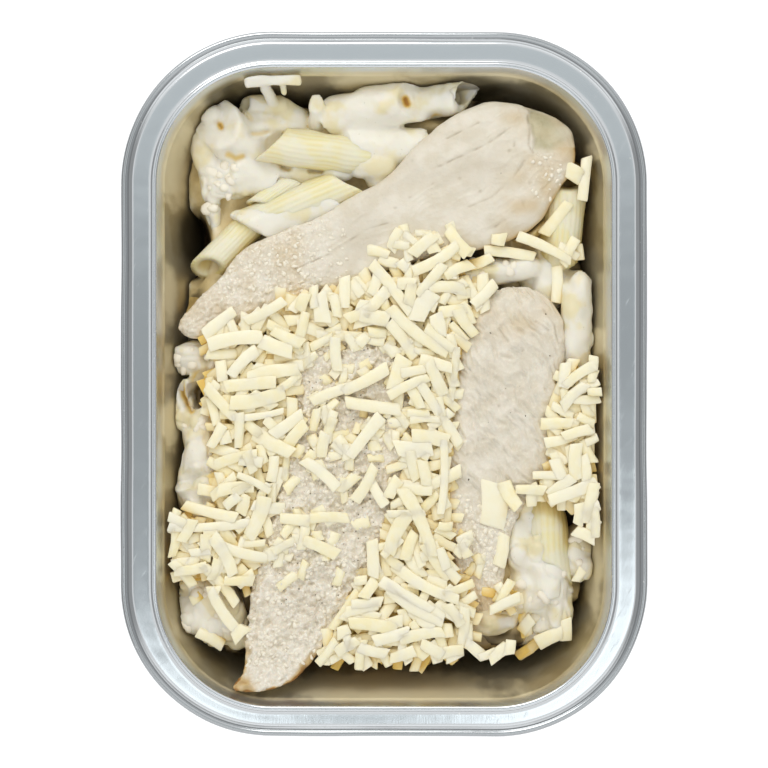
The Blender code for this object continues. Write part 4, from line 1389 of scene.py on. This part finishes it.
def cheese_finish():
    finish = Finish(bpy.data.materials.new("grated_cheese"))
    tone = finish.reading("tone")
    pale = finish.mix(tone, rgb(253, 244, 214), rgb(251, 238, 194))
    mottle = finish.spots(2.5 * MM, 3, 0.35, 0.65)
    pale = finish.mix(mottle * 0.4, pale, rgb(254, 248, 226))
    finish.shader({
        # Painted light and shade: golden, then brown, down the gaps between strands
        "Base Color": painted_gap_shade(finish, pale, rgb(241, 205, 108), rgb(190, 158, 96)),
        "Roughness": 0.46,
        "Subsurface Weight": 0.3, "Subsurface Radius": (1.7, 1.5, 1.1), "Subsurface Scale": MM,
        "Normal": finish.relief(finish.grain(0.9 * MM, 3), 0.1 * MM, 0.5)})
    return finish.owner


def bed_finish():
    finish = Finish(bpy.data.materials.new("cheese_bed"))
    mottle = finish.spots(2.5 * MM, 3, 0.4, 0.6)
    pale = finish.mix(mottle, rgb(242, 220, 148), rgb(246, 234, 188))
    finish.shader({
        # Painted light and shade: golden, then brown, down the gaps
        "Base Color": painted_gap_shade(finish, pale, rgb(238, 212, 140), rgb(178, 150, 92), 2.0),
        "Roughness": 0.55,
        "Normal": finish.relief(finish.grain(1.6 * MM, 3), 0.6 * MM, 0.7)})
    return finish.owner


cheese.data.materials.append(cheese_finish())
bed.data.materials.append(bed_finish())
for piece in (cheese, bed):
    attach(piece, "root")
    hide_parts("grated_cheese")


# Crumbs of meat and cheese are strewn over the chicken, most on the left piece, and
# flecks of dried herb and pepper stick to it.

# Crumbs on the chicken, crumbs and clots in the sauce, and flecks of herb: x and y ranges
# with how many are tried, then the smallest and the largest across
CRUMB_AREAS = ((-40, 8, -76, 16, 1750), (-45, -10, 22, 44, 220), (18, 36, -60, -30, 160),
               (40, 49, 50, 62, 22))
CRUMB_SIZES = (0.5, 1.5)
LUMP_AREAS = ((-50, -40, 47, 60, 22), (-14, -5, 42, 47, 6), (-57, -46, 4, 9, 10),
              (-57, -49, -14, -8, 8), (22, 38, 27, 33, 9), (50, 56, -54, -42, 10),
              (-55, -36, -73, -50, 26), (14, 40, 33, 38, 8), (34, 50, -72, -50, 14))
LUMP_SIZES = (1.6, 4.4)
FLECK_AREAS = ((-34, 8, -60, 16, 240), (-50, 50, 18, 72, 12), (18, 48, -45, 20, 14))
FLECK_SIZES = (0.18, 0.55)
CRUMB_CLEAR = 0.4 * MM


def crumb_mesh(centre, size, dice):
    points, faces = ball(2)
    points *= np.array((1.0, dice.uniform(0.5, 0.9), dice.uniform(0.4, 0.7)))
    lumpy = 1 + (noise(points + dice.uniform(0, 90), 0.5, 7) - 0.5) * 0.9
    points *= lumpy[:, None]
    turn = dice.uniform(0, 2 * math.pi)
    spin = np.array(((math.cos(turn), -math.sin(turn), 0), (math.sin(turn), math.cos(turn), 0), (0, 0, 1)))
    return points @ spin.T * size + np.array(centre), faces, np.full(len(points), dice.random())


def strew(tree, areas, sizes, raised, dice):
    # Crumbs whose centres stand above the surface by `raised` times their size
    parts = []
    for low_x, high_x, low_y, high_y, count in areas:
        for _ in range(count):
            x = dice.uniform(low_x, high_x) * MM
            y = dice.uniform(low_y, high_y) * MM
            hit, normal, _, _ = tree.ray_cast((x, y, ABOVE_ALL), (0, 0, -1))
            if hit is None or normal.z < 0.6:
                continue
            size = dice.uniform(*sizes) * MM
            parts.append(crumb_mesh((hit.x, hit.y, hit.z + size * raised), size, dice))
    return gather(parts)


dice = np.random.default_rng(29)
on_chicken = tree_of(chickens)
small = strew(on_chicken, CRUMB_AREAS, CRUMB_SIZES, 0.02, dice)
large = strew(tree_of([sauced]), LUMP_AREAS, LUMP_SIZES, -0.16, dice)
points, faces, tones = gather([small, large])
crumbs = add_piece("crumbs", hold_inside(points, CRUMB_CLEAR), faces, {"tone": tones})
points, faces, tones = strew(on_chicken, FLECK_AREAS, FLECK_SIZES, 0.0, dice)
flecks = add_piece("herb_flecks", points, faces, {"tone": tones})


def crumb_finish():
    finish = Finish(bpy.data.materials.new("crumbs"))
    tone = finish.reading("tone")
    mottle = finish.grain(0.7 * MM)
    finish.shader({
        "Base Color": finish.mix(tone, rgb(240, 232, 214), rgb(246, 240, 222)),
        "Roughness": 0.45 + 0.2 * mottle,
        "Normal": finish.relief(mottle, 0.1 * MM, 0.5)})
    return finish.owner


def fleck_finish():
    finish = Finish(bpy.data.materials.new("dried_herbs"))
    tone = finish.reading("tone")
    grain = finish.grain(0.3 * MM)
    finish.shader({
        "Base Color": finish.mix(tone, rgb(122, 108, 76), rgb(78, 70, 50)),
        "Roughness": 0.6 + 0.2 * grain,
        "Normal": finish.relief(grain, 0.05 * MM, 0.5)})
    return finish.owner


crumbs.data.materials.append(crumb_finish())
flecks.data.materials.append(fleck_finish())
for piece in (crumbs, flecks):
    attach(piece, "root")


# The stage is a plain white floor under a plain studio sky: a dimmer patch straight above,
# where the camera hangs, soft bright panels all round it, and one large soft lamp.

def build_floor():
    # Just under the tray's base, so that the two don't share a plane
    bpy.ops.mesh.primitive_plane_add(size=6.0, location=(0, 0, -0.0002))
    floor = bpy.context.object
    floor.name = "floor"
    finish = Finish(bpy.data.materials.new("floor"))
    shade = finish.grain(0.3, 2)
    finish.shader({
        "Base Color": finish.mix(shade, (0.62, 0.62, 0.62), (0.6, 0.6, 0.6)), "Roughness": 0.9,
        "Specular IOR Level": 0.1,
        "Emission Color": (1.0, 1.0, 1.0), "Emission Strength": 0.72})
    floor.data.materials.append(finish.owner)


def build_sky():
    finish = Finish(bpy.context.scene.world or bpy.data.worlds.new("studio"))
    bpy.context.scene.world = finish.owner
    way = finish.node("TexCoord", {}, {}, "Generated")
    x = finish.node("SeparateXYZ", {}, {0: way}, "X")
    y = finish.node("SeparateXYZ", {}, {0: way}, "Y")
    z = finish.node("SeparateXYZ", {}, {0: way}, "Z")
    ends = finish.between(abs(y), 0.25, 0.6)
    panels = 0.38 + 0.72 * ends
    above_horizon = finish.between(z, 0.18, 0.32)
    ring = finish.between(z, 0.66, 0.76)
    overhead = finish.between(z, 0.962, 0.98)
    toward = y - 0.2 * x
    beside = finish.between(abs(x + 0.0067), 0.018, 0.034)
    near_side = (1 - finish.between(toward, -0.095, -0.068)) * beside
    above = 0.41 + 0.3 * finish.between(y, 0.03, 0.09) + 1.35 * near_side
    low = 0.35 * (1 - above_horizon) + panels * above_horizon
    round_about = low * (1 - ring) + 0.9 * ring
    strength = round_about * (1 - overhead) + above * overhead
    background = finish.tree.nodes["Background"]
    finish.put(background.inputs["Strength"], strength)
    finish.put(background.inputs["Color"], finish.mix(overhead, (1.0, 1.0, 0.995), (0.93, 0.985, 1.0)))


def build_lamp():
    data = bpy.data.lights.new("soft_lamp", 'AREA')
    data.shape = 'SQUARE'
    data.size = 0.5
    data.energy = 2.5
    data.color = (1.0, 0.985, 0.955)
    lamp = bpy.data.objects.new("soft_lamp", data)
    lamp.location = (-0.2, 0.7, 0.7)
    aim = -lamp.location.normalized()
    lamp.rotation_euler = aim.to_track_quat('-Z', 'Y').to_euler()
    bpy.context.scene.collection.objects.link(lamp)


def build_camera():
    # Straight above, with the photograph's 206 mm across the frame at the flange
    across_frame = 0.2062
    above_flange = 0.75
    data = bpy.data.cameras.new("camera")
    data.sensor_width = 36.0
    data.lens = data.sensor_width * above_flange / across_frame
    data.clip_start = 0.01
    camera = bpy.data.objects.new("camera", data)
    camera.location = (0, 0, above_flange + 0.04)
    bpy.context.scene.collection.objects.link(camera)
    bpy.context.scene.camera = camera


build_floor()
build_sky()
build_lamp()
build_camera()
bpy.context.scene.view_settings.view_transform = 'Standard'
